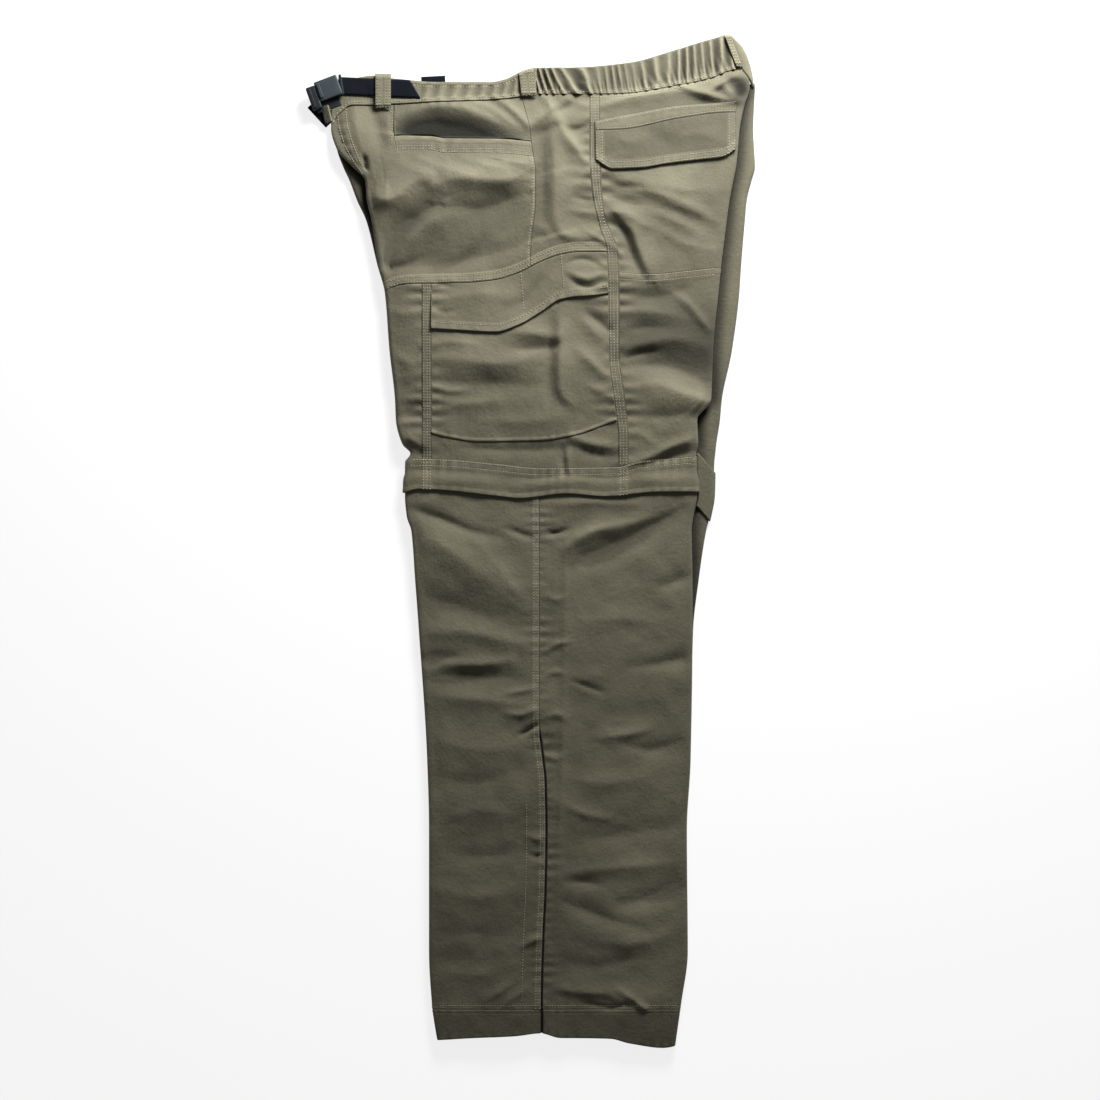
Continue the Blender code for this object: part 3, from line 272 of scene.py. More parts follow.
BACK_CREASES = (
    Crease(((98, 262, -1.2), (125, 262, -2.5), (150, 266, -2.1), (172, 273, -0.8)), 11, 10),
    Crease(((148, 269, 0.5), (168, 255, 1.7), (182, 238, 1.9), (197, 221, 1.0)), 4, 5),
    Crease(((98, 248, 0.6), (125, 247, 1.5), (155, 243, 0.8)), 6, 9),
    Crease(((96, 206, 0.5), (125, 213, 1.6), (155, 217, 1.4), (186, 209, 0.5)), 9, 9),
    Crease(((97, 196, -0.8), (115, 202, -1.5), (136, 205, -0.5)), 4, 4),
    Crease(((96, 190, -0.7), (120, 190, -1.7), (150, 187, -2.2), (175, 177, -1.9), (191, 166, -0.8)),
           20, 7),
    Crease(((100, 158, 0.8), (120, 166, 2.2), (140, 166, 3.3), (165, 157, 3.8), (189, 148, 2.8)), 12, 26),
    Crease(((104, 137, -0.4), (130, 133, -1.1), (160, 136, -1.0), (178, 138, -0.4)), 8, 8),
    Crease(((103, 82, 0.6), (130, 91, 1.6), (152, 102, 1.9), (177, 110, 1.2)), 6, 5),
    Crease(((120, 82, -0.5), (146, 90, -1.4), (173, 96, -1.1)), 5, 5),
    Crease(((104, 118, 0.3), (120, 112, 0.9), (134, 102, 0.3)), 5, 5),
    Crease(((104, 226, -0.3), (122, 230, -0.9), (142, 229, -0.3)), 5, 5),
)
CARGO_CREASES = (
    Crease(((-60, 190, 2.0), (50, 190, 2.0)), 55, 55),
    Crease(((-106, 197, 0.5), (-80, 195, 1.6), (-50, 191, 2.3), (-25, 191, 2.1), (-4, 197, 0.9)), 16, 11),
    Crease(((-24, 223, 0.5), (0, 223, 1.8), (25, 219, 1.3)), 8, 7),
    Crease(((-23, 206, -0.7), (0, 206, -1.8), (25, 209, -1.4)), 7, 5),
    Crease(((-107, 171, -0.3), (-70, 169, -1.1), (-35, 169, -1.3), (-5, 167, -0.9), (13, 164, -0.4)),
           9, 15),
    Crease(((-108, 166, 0.5), (-92, 161, 1.3), (-70, 162, 0.5)), 4, 4),
    Crease(((-106, 150, 0.4), (-75, 147, 1.1), (-40, 150, 0.5)), 6, 7),
    Crease(((19, 240, -0.5), (19, 215, -1.4), (18, 180, -1.5), (20, 158, -0.8)), 5, 9),
    Crease(((29, 249, 0.8), (30, 215, 2.1), (29, 180, 2.1), (31, 158, 1.9), (44, 146, 0.6)), 13, 5),
    Crease(((57, 247, -0.5), (68, 238, -1.9), (81, 227, -1.6)), 5, 4),
    Crease(((50, 240, 0.3), (60, 231, 1.0), (72, 219, 0.7)), 5, 5),
    Crease(((48, 206, 0.5), (60, 195, 1.4), (72, 184, 1.1), (81, 175, 0.5)), 6, 6),
    Crease(((59, 166, 0.4), (74, 160, 1.2), (86, 156, 0.8)), 4, 4),
    Crease(((-108, 212, 0.3), (-85, 214, 1.0), (-60, 210, 0.4)), 5, 6),
    Crease(((-60, 131, 0.2), (-10, 128, 0.7), (40, 134, 0.3)), 9, 9),
    # the flap, with the patch under its corner
    Crease(((-84, 262, 0.6), (-52, 266, 1.4), (-25, 262, 0.8)), 12, 12),
    Crease(((-30, 249, -0.8), (-10, 257, -1.4), (5, 274, -1.2), (13, 288, -0.4)), 8, 10),
    Crease(((-108, 272, -0.6), (-96, 275, -1.3), (-84, 272, -0.4)), 3, 4),
    Crease(((-107, 250, -0.4), (-96, 246, -1.0), (-84, 248, -0.3)), 4, 4),
    Crease(((38, 283, -0.5), (47, 277, -1.2), (60, 273, -1.4), (71, 276, -1.1), (77, 284, -0.5)), 3.5, 3.5),
    Crease(((40, 288, 0.4), (50, 283, 1.1), (62, 281, 1.3), (71, 285, 0.8)), 6, 3),
    Crease(((38, 299, -0.4), (50, 303, -1.3), (62, 302, -1.2), (72, 296, -0.6)), 3, 3.5),
    # below the pocket
    Crease(((-76, 100, -0.4), (-40, 98, -0.9), (0, 98, -0.9), (30, 100, -0.8), (50, 103, -0.5)), 5, 7),
    Crease(((42, 111, 0.8), (62, 104, 1.9), (86, 101, 1.2)), 5, 4),
    Crease(((54, 98, -0.5), (75, 92, -1.0), (92, 90, -0.5)), 4, 4),
    Crease(((34, 98, -0.9), (33, 88, -1.6), (34, 72, -0.8)), 3, 3),
    Crease(((38, 97, 0.7), (38, 88, 1.3), (39, 73, 0.6)), 3, 3),
)
EDGE_CREASES = (
    # the strip along the front edge
    Crease(((-147, 112, 1.6), (-130, 108, 1.9), (-117, 102, 0.8)), 8, 5),
    Crease(((-147, 131, -0.8), (-131, 140, -1.5), (-118, 146, -0.5)), 8, 7),
    Crease(((-149, 124, 0.6), (-138, 127, 1.0), (-124, 126, 0.4)), 4, 4),
    Crease(((-152, 202, 0.4), (-136, 192, 1.0), (-121, 185, 0.4)), 8, 8),
    Crease(((-158, 250, 0.3), (-140, 244, 0.9), (-122, 245, 0.4)), 7, 7),
    Crease(((-152, 170, -0.3), (-138, 166, -0.9), (-122, 168, -0.3)), 7, 7),
    # the knee bands
    Crease(((-130, 66, 0.2), (-90, 63, 0.6), (-40, 66, 0.2)), 7, 6),
    Crease(((-20, 62, 0.2), (15, 60, 0.6), (60, 64, 0.2)), 6, 6),
    Crease(((100, 70, 0.2), (130, 66, 0.7), (168, 70, 0.3)), 5, 6),
)
SHIN_CREASES = (
    Crease(((-119, 9, 1.4), (-95, -8, 2.9), (-65, -30, 2.9), (-34, -54, 1.4)), 20, 26),
    Crease(((-72, 9, 0.3), (-45, -20, 0.9), (-22, -50, 0.9), (-4, -77, 0.4)), 9, 12),
    Crease(((-131, 34, -1.0), (-100, 24, -1.9), (-66, 10, -1.4), (-34, 4, -0.5)), 5, 7),
    Crease(((-118, -62, -0.8), (-80, -72, -1.6), (-44, -84, -0.8)), 14, 14),
    Crease(((-30, 13, -0.5), (-14, 8, -1.5), (-1, 3, -0.7)), 3, 3),
    Crease(((-118, -100, 0.6), (-80, -98, 1.6), (-45, -104, 1.8), (-8, -113, 0.9)), 12, 11),
    Crease(((-121, -130, -1.7), (-100, -128, -2.1), (-80, -126, -0.7)), 6, 6),
    Crease(((-93, -132, 0.7), (-60, -134, 1.6), (-24, -130, 0.8)), 6, 7),
    Crease(((-113, -151, -1.2), (-75, -147, -1.9), (-40, -147, -1.3), (-11, -151, -0.4)), 9, 12),
    Crease(((-110, -168, 0.4), (-60, -172, 1.1), (-8, -178, 0.6)), 8, 9),
    Crease(((-31, -186, 0.4), (-12, -188, 1.4), (1, -183, 0.9)), 4, 4),
    Crease(((-30, -165, 0.3), (-14, -163, 1.1), (-1, -160, 0.5)), 3, 3),
    Crease(((-104, -214, 0.3), (-60, -226, 1.0), (-18, -222, 0.4)), 11, 11),
    Crease(((-100, -258, -0.3), (-64, -262, -0.9), (-24, -252, -0.3)), 10, 10),
    Crease(((-98, -300, 0.3), (-55, -292, 0.9), (-16, -300, 0.3)), 11, 11),
    Crease(((-92, -338, -0.3), (-50, -342, -0.9), (-14, -334, -0.3)), 9, 9),
    Crease(((-104, -376, 0.3), (-60, -386, 1.0), (-20, -378, 0.3)), 12, 12),
    Crease(((-100, -430, -0.3), (-60, -424, -0.9), (-16, -432, -0.3)), 11, 11),
    Crease(((-100, -462, 0.2), (-64, -470, 0.8), (-30, -462, 0.2)), 9, 9),
    Crease(((-50, -496, 0.3), (-36, -488, 1.0), (-25, -479, 0.4)), 5, 4),
    Crease(((-30, -501, 0.3), (-18, -492, 0.9), (-7, -485, 0.3)), 4, 4),
    Crease(((-6, -318, 0.4), (4, -322, 1.1), (12, -320, 0.5)), 3, 3),
    Crease(((-6, -338, -0.4), (4, -341, -1.1), (12, -338, -0.5)), 2.5, 2.5),
    Crease(((-12, -440, 0.4), (0, -432, 1.2), (10, -430, 0.6)), 4, 3),
    Crease(((-15, -211, -0.7), (-6, -206, -1.9), (5, -199, -0.9)), 2.5, 2.5),
    # the back half
    Crease(((35, -9, 1.0), (52, 4, 2.5), (75, 13, 2.5), (105, 18, 1.8), (140, 29, 0.8), (166, 41, 0.5)),
           7, 10),
    Crease(((43, -29, -0.8), (70, -18, -2.5), (100, -4, -3.0), (130, 14, -2.7), (159, 34, -1.4)), 12, 12),
    Crease(((12, 10, -0.5), (24, 8, -1.9), (37, 11, -1.1)), 3, 3),
    Crease(((14, 36, 0.3), (60, 41, 0.9), (112, 38, 0.4)), 5, 5),
    Crease(((36, 22, 0.2), (35, -40, 0.6), (34, -120, 0.5), (33, -180, 0.6), (31, -260, 0.7),
            (28, -330, 0.5), (27, -400, 0.2)), 6, 2.5),
    Crease(((16, -60, 0.3), (26, -64, 0.9), (35, -60, 0.3)), 4, 4),
    Crease(((14, -119, 0.5), (26, -112, 1.1), (40, -109, 0.4)), 3, 3),
    Crease(((14, -146, 0.4), (24, -142, 1.0), (34, -144, 0.3)), 3, 3),
    Crease(((42, -152, -0.4), (58, -157, -1.2), (77, -165, -0.4)), 3, 3),
    Crease(((14, -190, 0.4), (26, -188, 1.0), (38, -192, 0.3)), 4, 4),
    Crease(((14, -232, 0.3), (24, -236, 0.9), (34, -232, 0.3)), 4, 4),
    Crease(((104, -137, -0.6), (130, -134, -1.4), (162, -128, -1.6)), 8, 8),
    Crease(((138, -49, -0.8), (158, -43, -1.5), (172, -36, -0.9)), 8, 8),
    Crease(((60, -88, 0.3), (95, -84, 1.0), (132, -92, 0.4)), 12, 12),
    Crease(((75, -213, 0.5), (100, -210, 1.4), (126, -204, 0.6)), 7, 5),
    Crease(((104, -223, -0.6), (130, -226, -1.3), (156, -218, -0.6)), 7, 8),
    Crease(((40, -256, 0.3), (80, -262, 1.0), (124, -254, 0.4)), 10, 10),
    Crease(((40, -288, 0.5), (58, -296, 1.2), (82, -301, 0.6)), 6, 5),
    Crease(((60, -322, -0.4), (100, -318, -1.0), (150, -310, -0.5)), 10, 10),
    Crease(((38, -369, -0.5), (55, -369, -1.2), (77, -373, -0.4)), 5, 5),
    Crease(((40, -360, 0.4), (75, -355, 1.2), (120, -351, 1.2), (152, -349, 0.5)), 9, 10),
    Crease(((94, -393, -0.8), (125, -388, -1.6), (161, -376, -1.3)), 9, 9),
    Crease(((36, -392, -0.5), (62, -402, -1.4), (90, -412, -1.2), (122, -420, -0.5)), 8, 8),
    Crease(((60, -430, 0.3), (100, -436, 1.1), (146, -428, 0.5)), 10, 10),
    Crease(((30, -456, -0.3), (70, -460, -0.9), (110, -452, -0.3)), 8, 8),
    Crease(((20, -484, 0.5), (50, -488, 1.2), (78, -490, 1.1), (97, -497, 0.5)), 9, 4),
    Crease(((60, -500, -0.5), (85, -505, -1.1), (109, -499, -0.5)), 3, 4),
    Crease(((91, -485, 0.5), (105, -494, 1.4), (121, -506, 1.3)), 4, 3),
)
CREASES = (*FRONT_CREASES, *SIDE_CREASES, *SEAT_CREASES, *BACK_CREASES, *CARGO_CREASES, *EDGE_CREASES,
           *SHIN_CREASES)


@dataclass
class SmoothLine:
    """A smooth line through knots of (place, value), with no overshoot and level ends."""

    knots: tuple[tuple[float, float], ...]

    def __post_init__(self) -> None:
        """Works out the places, values and tangents."""
        ordered = sorted(self.knots)
        self.places = np.array([knot[0] for knot in ordered], float)
        self.values = np.array([knot[1] for knot in ordered], float)
        self.spans = np.diff(self.places)
        slopes = np.diff(self.values) / self.spans
        before, after = slopes[:-1], slopes[1:]
        together = np.where(before * after > 0.0, before + after, 1.0)
        meet = np.where(before * after > 0.0, 2.0 * before * after / together, 0.0)
        self.tangents = np.concatenate((slopes[:1], meet, slopes[-1:]))

    def __call__(self, place: Array) -> Array:
        """Reads the line.

        Args:
            place: where along the line.

        Returns:
            The value at each place.
        """
        held = np.clip(np.asarray(place, float), self.places[0], self.places[-1])
        row = np.clip(np.searchsorted(self.places, held, side="right") - 1, 0, len(self.spans) - 1)
        span = self.spans[row]
        part = (held - self.places[row]) / span
        blend = part * part * (3.0 - 2.0 * part)
        rise = span * part * (1.0 - part) ** 2
        fall = span * part * part * (part - 1.0)
        return (self.values[row] * (1.0 - blend) + self.values[row + 1] * blend
                + self.tangents[row] * rise + self.tangents[row + 1] * fall)


def moved(line: Line, distance: float) -> Line:
    """Returns a line moved along its own value."""
    return lambda place: line(place) + distance


def steady(value: float) -> Line:
    """Returns a straight line at one value."""
    return lambda place: np.full_like(np.asarray(place, float), value)


def slanting(start: float, middle: float, slant: float) -> Line:
    """Returns a leaning line: start at the middle place, and slant more for each step past it."""
    return lambda place: start + (np.asarray(place, float) - middle) * slant


def smooth_step(amount: Array) -> Array:
    """Eases from 0 to 1."""
    held = np.clip(amount, 0.0, 1.0)
    return held * held * (3.0 - 2.0 * held)


left_edge = SmoothLine(tuple((row.y, row.left) for row in OUTLINE))
right_edge = SmoothLine(tuple((row.y, row.right) for row in OUTLINE))
under_left_edge = SmoothLine(tuple((row.y, row.under_left) for row in OUTLINE))
under_right_edge = SmoothLine(tuple((row.y, row.under_right) for row in OUTLINE))
crown_at = SmoothLine(tuple((row.level, row.crown) for row in STACK))
split_at = SmoothLine(tuple((row.level, row.split) for row in STACK))

# Seams that run across: (x, y)
waist_top = SmoothLine((
    (-218, 478), (-210, 488), (-201, 496), (-188, 501), (-172, 503), (-152, 500), (-100, 496),
    (-46, 496), (-30, 499), (-8, 509), (3, 511), (51, 512), (105, 517), (159, 532), (192, 542),
    (217, 548), (238, 545)))
waist_seam = SmoothLine((
    (-218, 449), (-209, 461), (-196, 470), (-170, 471), (-124, 473), (-35, 477), (8, 482),
    (94, 483), (159, 492), (197, 501), (211, 507), (240, 513)))
pocket_edge = SmoothLine((
    (-150, 437), (-138, 438), (-111, 438), (-95, 435), (-35, 434), (6, 430)))
cargo_seam = SmoothLine((
    (-165, 266), (-151, 273), (-138, 276), (-68, 278), (-40, 281), (-14, 289), (10, 301),
    (30, 308), (50, 311), (95, 311)))
flap_edge = SmoothLine((
    (-112, 228), (-78, 226), (-40, 224), (-14, 232), (8, 245), (30, 259), (46, 262), (62, 263),
    (95, 268)))
cargo_base = SmoothLine((
    (-112, 116), (-94, 111), (-57, 106), (8, 107), (46, 113), (78, 124), (95, 130)))
knee_seam = SmoothLine((
    (-150, 89), (-89, 87), (-35, 82), (8, 78), (91, 79), (116, 85), (190, 92)))
knee_edge = SmoothLine((
    (-150, 47), (-122, 55), (-100, 54), (-35, 47), (-14, 45), (37, 50), (78, 47), (138, 52),
    (190, 52)))
seat_seam = SmoothLine(((80, 290), (125, 287), (170, 291), (215, 296)))
welt_top = SmoothLine(((60, 451), (116, 462), (159, 469), (230, 474)))
welt_base = SmoothLine(((60, 442), (94, 443), (159, 455), (202, 461), (230, 462)))
back_flap_edge = SmoothLine((
    (60, 418), (73, 407), (86, 400), (116, 401), (148, 406), (181, 410), (205, 413), (214, 418),
    (230, 432)))
hem_edge = SmoothLine((
    (-110, -541), (-62, -538), (-19, -536), (9, -533), (30, -538), (84, -539), (105, -544),
    (141, -549), (160, -546)))

# Seams that run down the leg: (y, x)
front_seam = SmoothLine((
    (482, -13), (465, -8), (449, -4), (427, -1), (395, 3), (368, 3), (319, -2), (290, -3)))
side_seam = SmoothLine((
    (484, 62), (416, 62), (373, 65), (338, 73), (314, 80), (271, 82), (195, 83), (146, 89),
    (109, 93), (75, 93)))
side_fell = SmoothLine((
    (484, 72), (395, 73), (352, 77), (330, 85), (314, 91), (271, 93), (206, 93), (152, 99),
    (109, 103), (75, 103)))
outer_seam = SmoothLine((
    (70, 7), (-192, 7), (-232, 11), (-259, 14), (-313, 15), (-377, 14), (-421, 12), (-496, 10),
    (-550, 10)))


@dataclass
class Rumple:
    """Soft unevenness from one seeded lattice of heights."""

    size: float
    height: float
    seed: int
    cells: int = 256

    def __post_init__(self) -> None:
        """Draws the lattice."""
        self.lattice = np.random.default_rng(self.seed).uniform(-1.0, 1.0, (self.cells, self.cells))

    def __call__(self, x: Array, y: Array) -> Array:
        """Returns the height at each place."""
        across = np.asarray(x, float) / self.size + 0.37 * self.cells
        up = np.asarray(y, float) / self.size + 0.41 * self.cells
        column, row = np.floor(across).astype(int), np.floor(up).astype(int)
        part_x = smooth_step(across - column)
        part_y = smooth_step(up - row)
        wrap = self.cells

        def corner(step_x: int, step_y: int) -> Array:
            """Returns one corner of each place's cell."""
            return self.lattice[(column + step_x) % wrap, (row + step_y) % wrap]

        low = corner(0, 0) * (1.0 - part_x) + corner(1, 0) * part_x
        high = corner(0, 1) * (1.0 - part_x) + corner(1, 1) * part_x
        return self.height * (low * (1.0 - part_y) + high * part_y)


class Kind(Enum):
    """Which part of the folded leg a column of cloth lies on."""

    FRONT_ROLL = -1
    FLAT = 0
    BACK_ROLL = 1
    BELOW = 2


@dataclass
class LegForm:
    """The form that the top leg's cloth lies on."""

    cloth: float = 1.2
    seam_gap: float = 0.08
    layer_gap: float = 0.3
    lay_gap: float = 0.55
    roll: float = 4.0
    edge_share: float = 0.66
    crown_reach: float = 34.0
    waist_mean: float = 500.0
    level_start: float = 380.0
    level_reach: float = 80.0
    crease_edge: float = 8.0
    gain: float = 2.0
    # How much each millimetre of crease darkens troughs as painted shade and lightens ridges as painted
    # highlight
    tint: float = 0.13
    least: float = 0.8
    pressed: float = 0.15
    rumples: tuple[Rumple, ...] = (
        Rumple(46.0, 0.75, 3), Rumple(19.0, 0.30, 5), Rumple(8.5, 0.12, 7))

    def level(self, x: Array, y: Array) -> Array:
        """Returns Y, counted from the slanting waist near the top of the garment."""
        near = smooth_step((y - self.level_start) / self.level_reach)
        return y - (waist_top(x) - self.waist_mean) * near

    def front_start(self, y: Array) -> Array:
        """Returns where the cloth starts to turn down at the front edge."""
        return left_edge(y) + self.cloth + self.roll

    def back_start(self, y: Array) -> Array:
        """Returns where the cloth starts to turn down at the back edge."""
        return right_edge(y) - self.cloth - self.roll

    def split(self, x: Array, y: Array) -> Array:
        """Returns the top of the leg that lies below."""
        return split_at(self.level(x, y))

    def base(self, x: Array, y: Array) -> Array:
        """Returns the inner face of the cloth where it has turned under."""
        return self.split(x, y) + self.layer_gap + self.cloth

    def plain(self, x: Array, y: Array) -> Array:
        """Returns the inner face of the top cloth, without folds."""
        crown = crown_at(self.level(x, y))
        base = self.base(x, y)
        edge = base + self.edge_share * (crown - base)
        inward = np.maximum(0.0, np.minimum(x - self.front_start(y), self.back_start(y) - x))
        return edge + (crown - edge) * (1.0 - np.exp(-inward / self.crown_reach))

    def creases(self, x: Array, y: Array) -> Array:
        """Returns the sum of the creases and the soft unevenness."""
        x, y = np.broadcast_arrays(x, y)
        total = np.zeros(x.shape)
        for crease in CREASES:
            crease.add_to(total, x, y)
        for rumple in self.rumples:
            total = total + rumple(x, y)
        return total

    def height(self, x: Array, y: Array) -> Array:
        """Returns the inner face of the top cloth, with its creases."""
        inward = np.minimum(x - self.front_start(y), self.back_start(y) - x)
        edge = smooth_step((inward + self.crease_edge) / (2.0 * self.crease_edge))
        loose = self.plain(x, y) + self.gain * self.creases(x, y) * edge
        floor = self.base(x, y) + self.least
        return floor + np.maximum(loose - floor, self.pressed * (loose - floor))

    def point(self, kind: Array, value: Array, y: Array, lift: Array) -> Array:
        """Places points over the cloth.

        Args:
            kind: the Kind value of each point.
            value: the place along X, or half turns on a roll.
            y: the place along Y.
            lift: the height over the inner face.

        Returns:
            The points, with X, Y and Z in the last axis.
        """
        rolled = np.abs(kind) == Kind.BACK_ROLL.value
        start = np.where(kind == Kind.FRONT_ROLL.value, self.front_start(y), self.back_start(y))
        x = np.where(rolled, start, value)
        top = self.height(x, y)
        base = self.base(x, y)
        turn = np.pi * np.where(rolled, value, 0.0)
        out_x = x + np.where(rolled, kind * (self.roll + lift) * np.sin(turn), 0.0)
        rolled_z = 0.5 * (top + base) + (0.5 * (top - base) + lift) * np.cos(turn)
        z = np.where(rolled, rolled_z, top + lift)
        z = np.where(kind == Kind.BELOW.value, base - lift, z)
        return np.stack((out_x, y, z), axis=-1)


class Side(Enum):
    """A side of a panel."""

    LEFT = "left"
    RIGHT = "right"
    BOTTOM = "bottom"
    TOP = "top"


# How the puckers drift along a seam: (size in radians, length in millimetres)
PUCKER_DRIFT = ((1.9, 23.0), (1.3, 61.0))


@dataclass(frozen=True)
class Edge:
    """How one edge of a panel is sewn: a ridge of turned cloth, stitch rows in it, and the lip."""

    ridge: float = 0.0
    width: float = 0.0
    rows: tuple[float, ...] = ()
    lip: float = 0.25
    lip_reach: float = 0.9
    pucker: float = 0.10
    pucker_reach: float = 6.0
    wave: float = 11.0
    groove: float = 0.26
    groove_width: float = 0.75
    ease: float = 2.0
    margin: float = 1.0
    plain_zone: float = 2.2

    @property
    def zone(self) -> float:
        """How far in from the edge the mesh is fine."""
        return self.width + self.ease + self.margin if self.width else self.plain_zone

    def relief(self, gap: Array, along: Array) -> Array:
        """Works out the sewn relief.

        Args:
            gap: how far each place is from the edge.
            along: the place along the edge.

        Returns:
            The height to add.
        """
        total = -self.lip * (1.0 - smooth_step(gap / self.lip_reach))
        if self.width:
            within = smooth_step((self.width + self.ease - gap) / self.ease)
            total = total + self.ridge * within
            for row in self.rows:
                total = total - self.groove * np.exp(-((gap - row) / self.groove_width) ** 2)
        swing = FULL_TURN * along / self.wave
        for drift, length in PUCKER_DRIFT:
            swing = swing + drift * np.sin(along / length)
        size = 0.55 + 0.45 * np.sin(along / 37.0 + 1.0) * np.sin(along / 13.0)
        reach = self.pucker_reach * (0.75 + 0.35 * np.sin(along / 19.0))
        near = np.exp(-(gap / reach) ** 2) * smooth_step(gap / 1.5)
        return total + self.pucker * size * np.sin(swing) * near


JOINED = Edge()
FLUSH = Edge(lip=0.0, pucker=0.0)
BESIDE_STRIP = Edge(lip=0.12, pucker=0.75, pucker_reach=15.0, wave=14.0)
DOUBLE = Edge(ridge=0.5, width=9.0, rows=(2.0, 7.4), lip=0.8, pucker=0.22)
SINGLE = Edge(ridge=0.3, width=4.0, rows=(3.0,), lip=0.5, pucker=0.16)


@dataclass
class Spread:
    """Where the lines of a mesh lie between two edges: a share of the way, and an offset."""

    share: Array
    offset: Array

    @classmethod
    def between(cls, width: float, near: float, far: float, coarse: float, fine: float) -> "Spread":
        """Spreads lines closely beside both edges and further apart between them.

        Args:
            width: the usual distance between the edges.
            near: how far the fine zone reaches from the first edge.
            far: how far it reaches from the last edge.
            coarse: the spacing between the zones.
            fine: the spacing in them.

        Returns:
            The spread.
        """
        if width < near + far + coarse:
            count = max(2, round(width / fine))
            return cls(np.linspace(0.0, 1.0, count + 1), np.zeros(count + 1))
        first = np.linspace(0.0, near, max(1, round(near / fine)) + 1) if near else np.zeros(1)
        last = np.linspace(far, 0.0, max(1, round(far / fine)) + 1) if far else np.zeros(1)
        count = max(2, round((width - near - far) / coarse))
        inner = np.linspace(0.0, 1.0, count + 1)[1:-1]
        share = np.concatenate((np.zeros(len(first)), inner, np.ones(len(last))))
        offset = np.concatenate((first, near * (1.0 - inner) - far * inner, -last))
        return cls(share, offset)


class Cut(NamedTuple):
    """A cloth piece's flat size in metres, and its area in square metres."""

    width: float
    length: float
    area: float


def linked(name: str, data: bpy.types.ID) -> bpy.types.Object:
    """Returns a new object, linked to the scene."""
    item = bpy.data.objects.new(name, data)
    bpy.context.scene.collection.objects.link(item)
    return item


def grid_object(name: str, points: Array, wear: Array, wall: float,
                wrap: bool = False) -> bpy.types.Object:
    """Makes a cloth object from rows of points, with its wall behind them.

    Args:
        name: the object's name.
        points: rows, columns and X, Y, Z in millimetres.
        wear: the wear and painted shade at each point, from -2 for painted shade in a deep hollow to 1 for
            wear and painted highlight on a ridge.
        wall: the cloth's thickness.
        wrap: whether the last column is the first again.

    Returns:
        The object, linked to the scene.
    """
    rows, columns = points.shape[:2]
    body = bmesh.new()
    bmesh.ops.create_grid(body, x_segments=columns - 1, y_segments=rows - 1, size=0.5)
    mesh = bpy.data.meshes.new(name)
    body.to_mesh(mesh)
    body.free()
    places = np.empty(len(mesh.vertices) * 3, np.float32)
    mesh.vertices.foreach_get("co", places)
    places = places.reshape(-1, 3)
    column = np.rint((places[:, 0] + 0.5) * (columns - 1)).astype(int)
    row = np.rint((places[:, 1] + 0.5) * (rows - 1)).astype(int)
    mesh.vertices.foreach_set("co", (points[row, column] * MM).astype(np.float32).ravel())
    # The wear and shade attribute: painted shade in hollows, creases and grooves, and wear and painted
    # highlight on ridges
    marks = mesh.attributes.new("wear", "FLOAT", "POINT")
    marks.data.foreach_set("value", np.clip(wear[row, column], WEAR_AND_SHADE_LOW, WEAR_AND_SHADE_HIGH).astype(
        np.float32))
    if wrap:
        body = bmesh.new()
        body.from_mesh(mesh)
        bmesh.ops.remove_doubles(body, verts=body.verts[:], dist=1e-6)
        body.to_mesh(mesh)
        body.free()
    mesh.shade_smooth()
    mesh.update()
    item = linked(name, mesh)
    solidify = item.modifiers.new("wall", "SOLIDIFY")
    solidify.thickness = wall * MM
    solidify.offset = -1.0
    return item


# Stitch rows of the strips, from their middles
STRIP_ROWS = (-3.6, 0.0, 3.6)


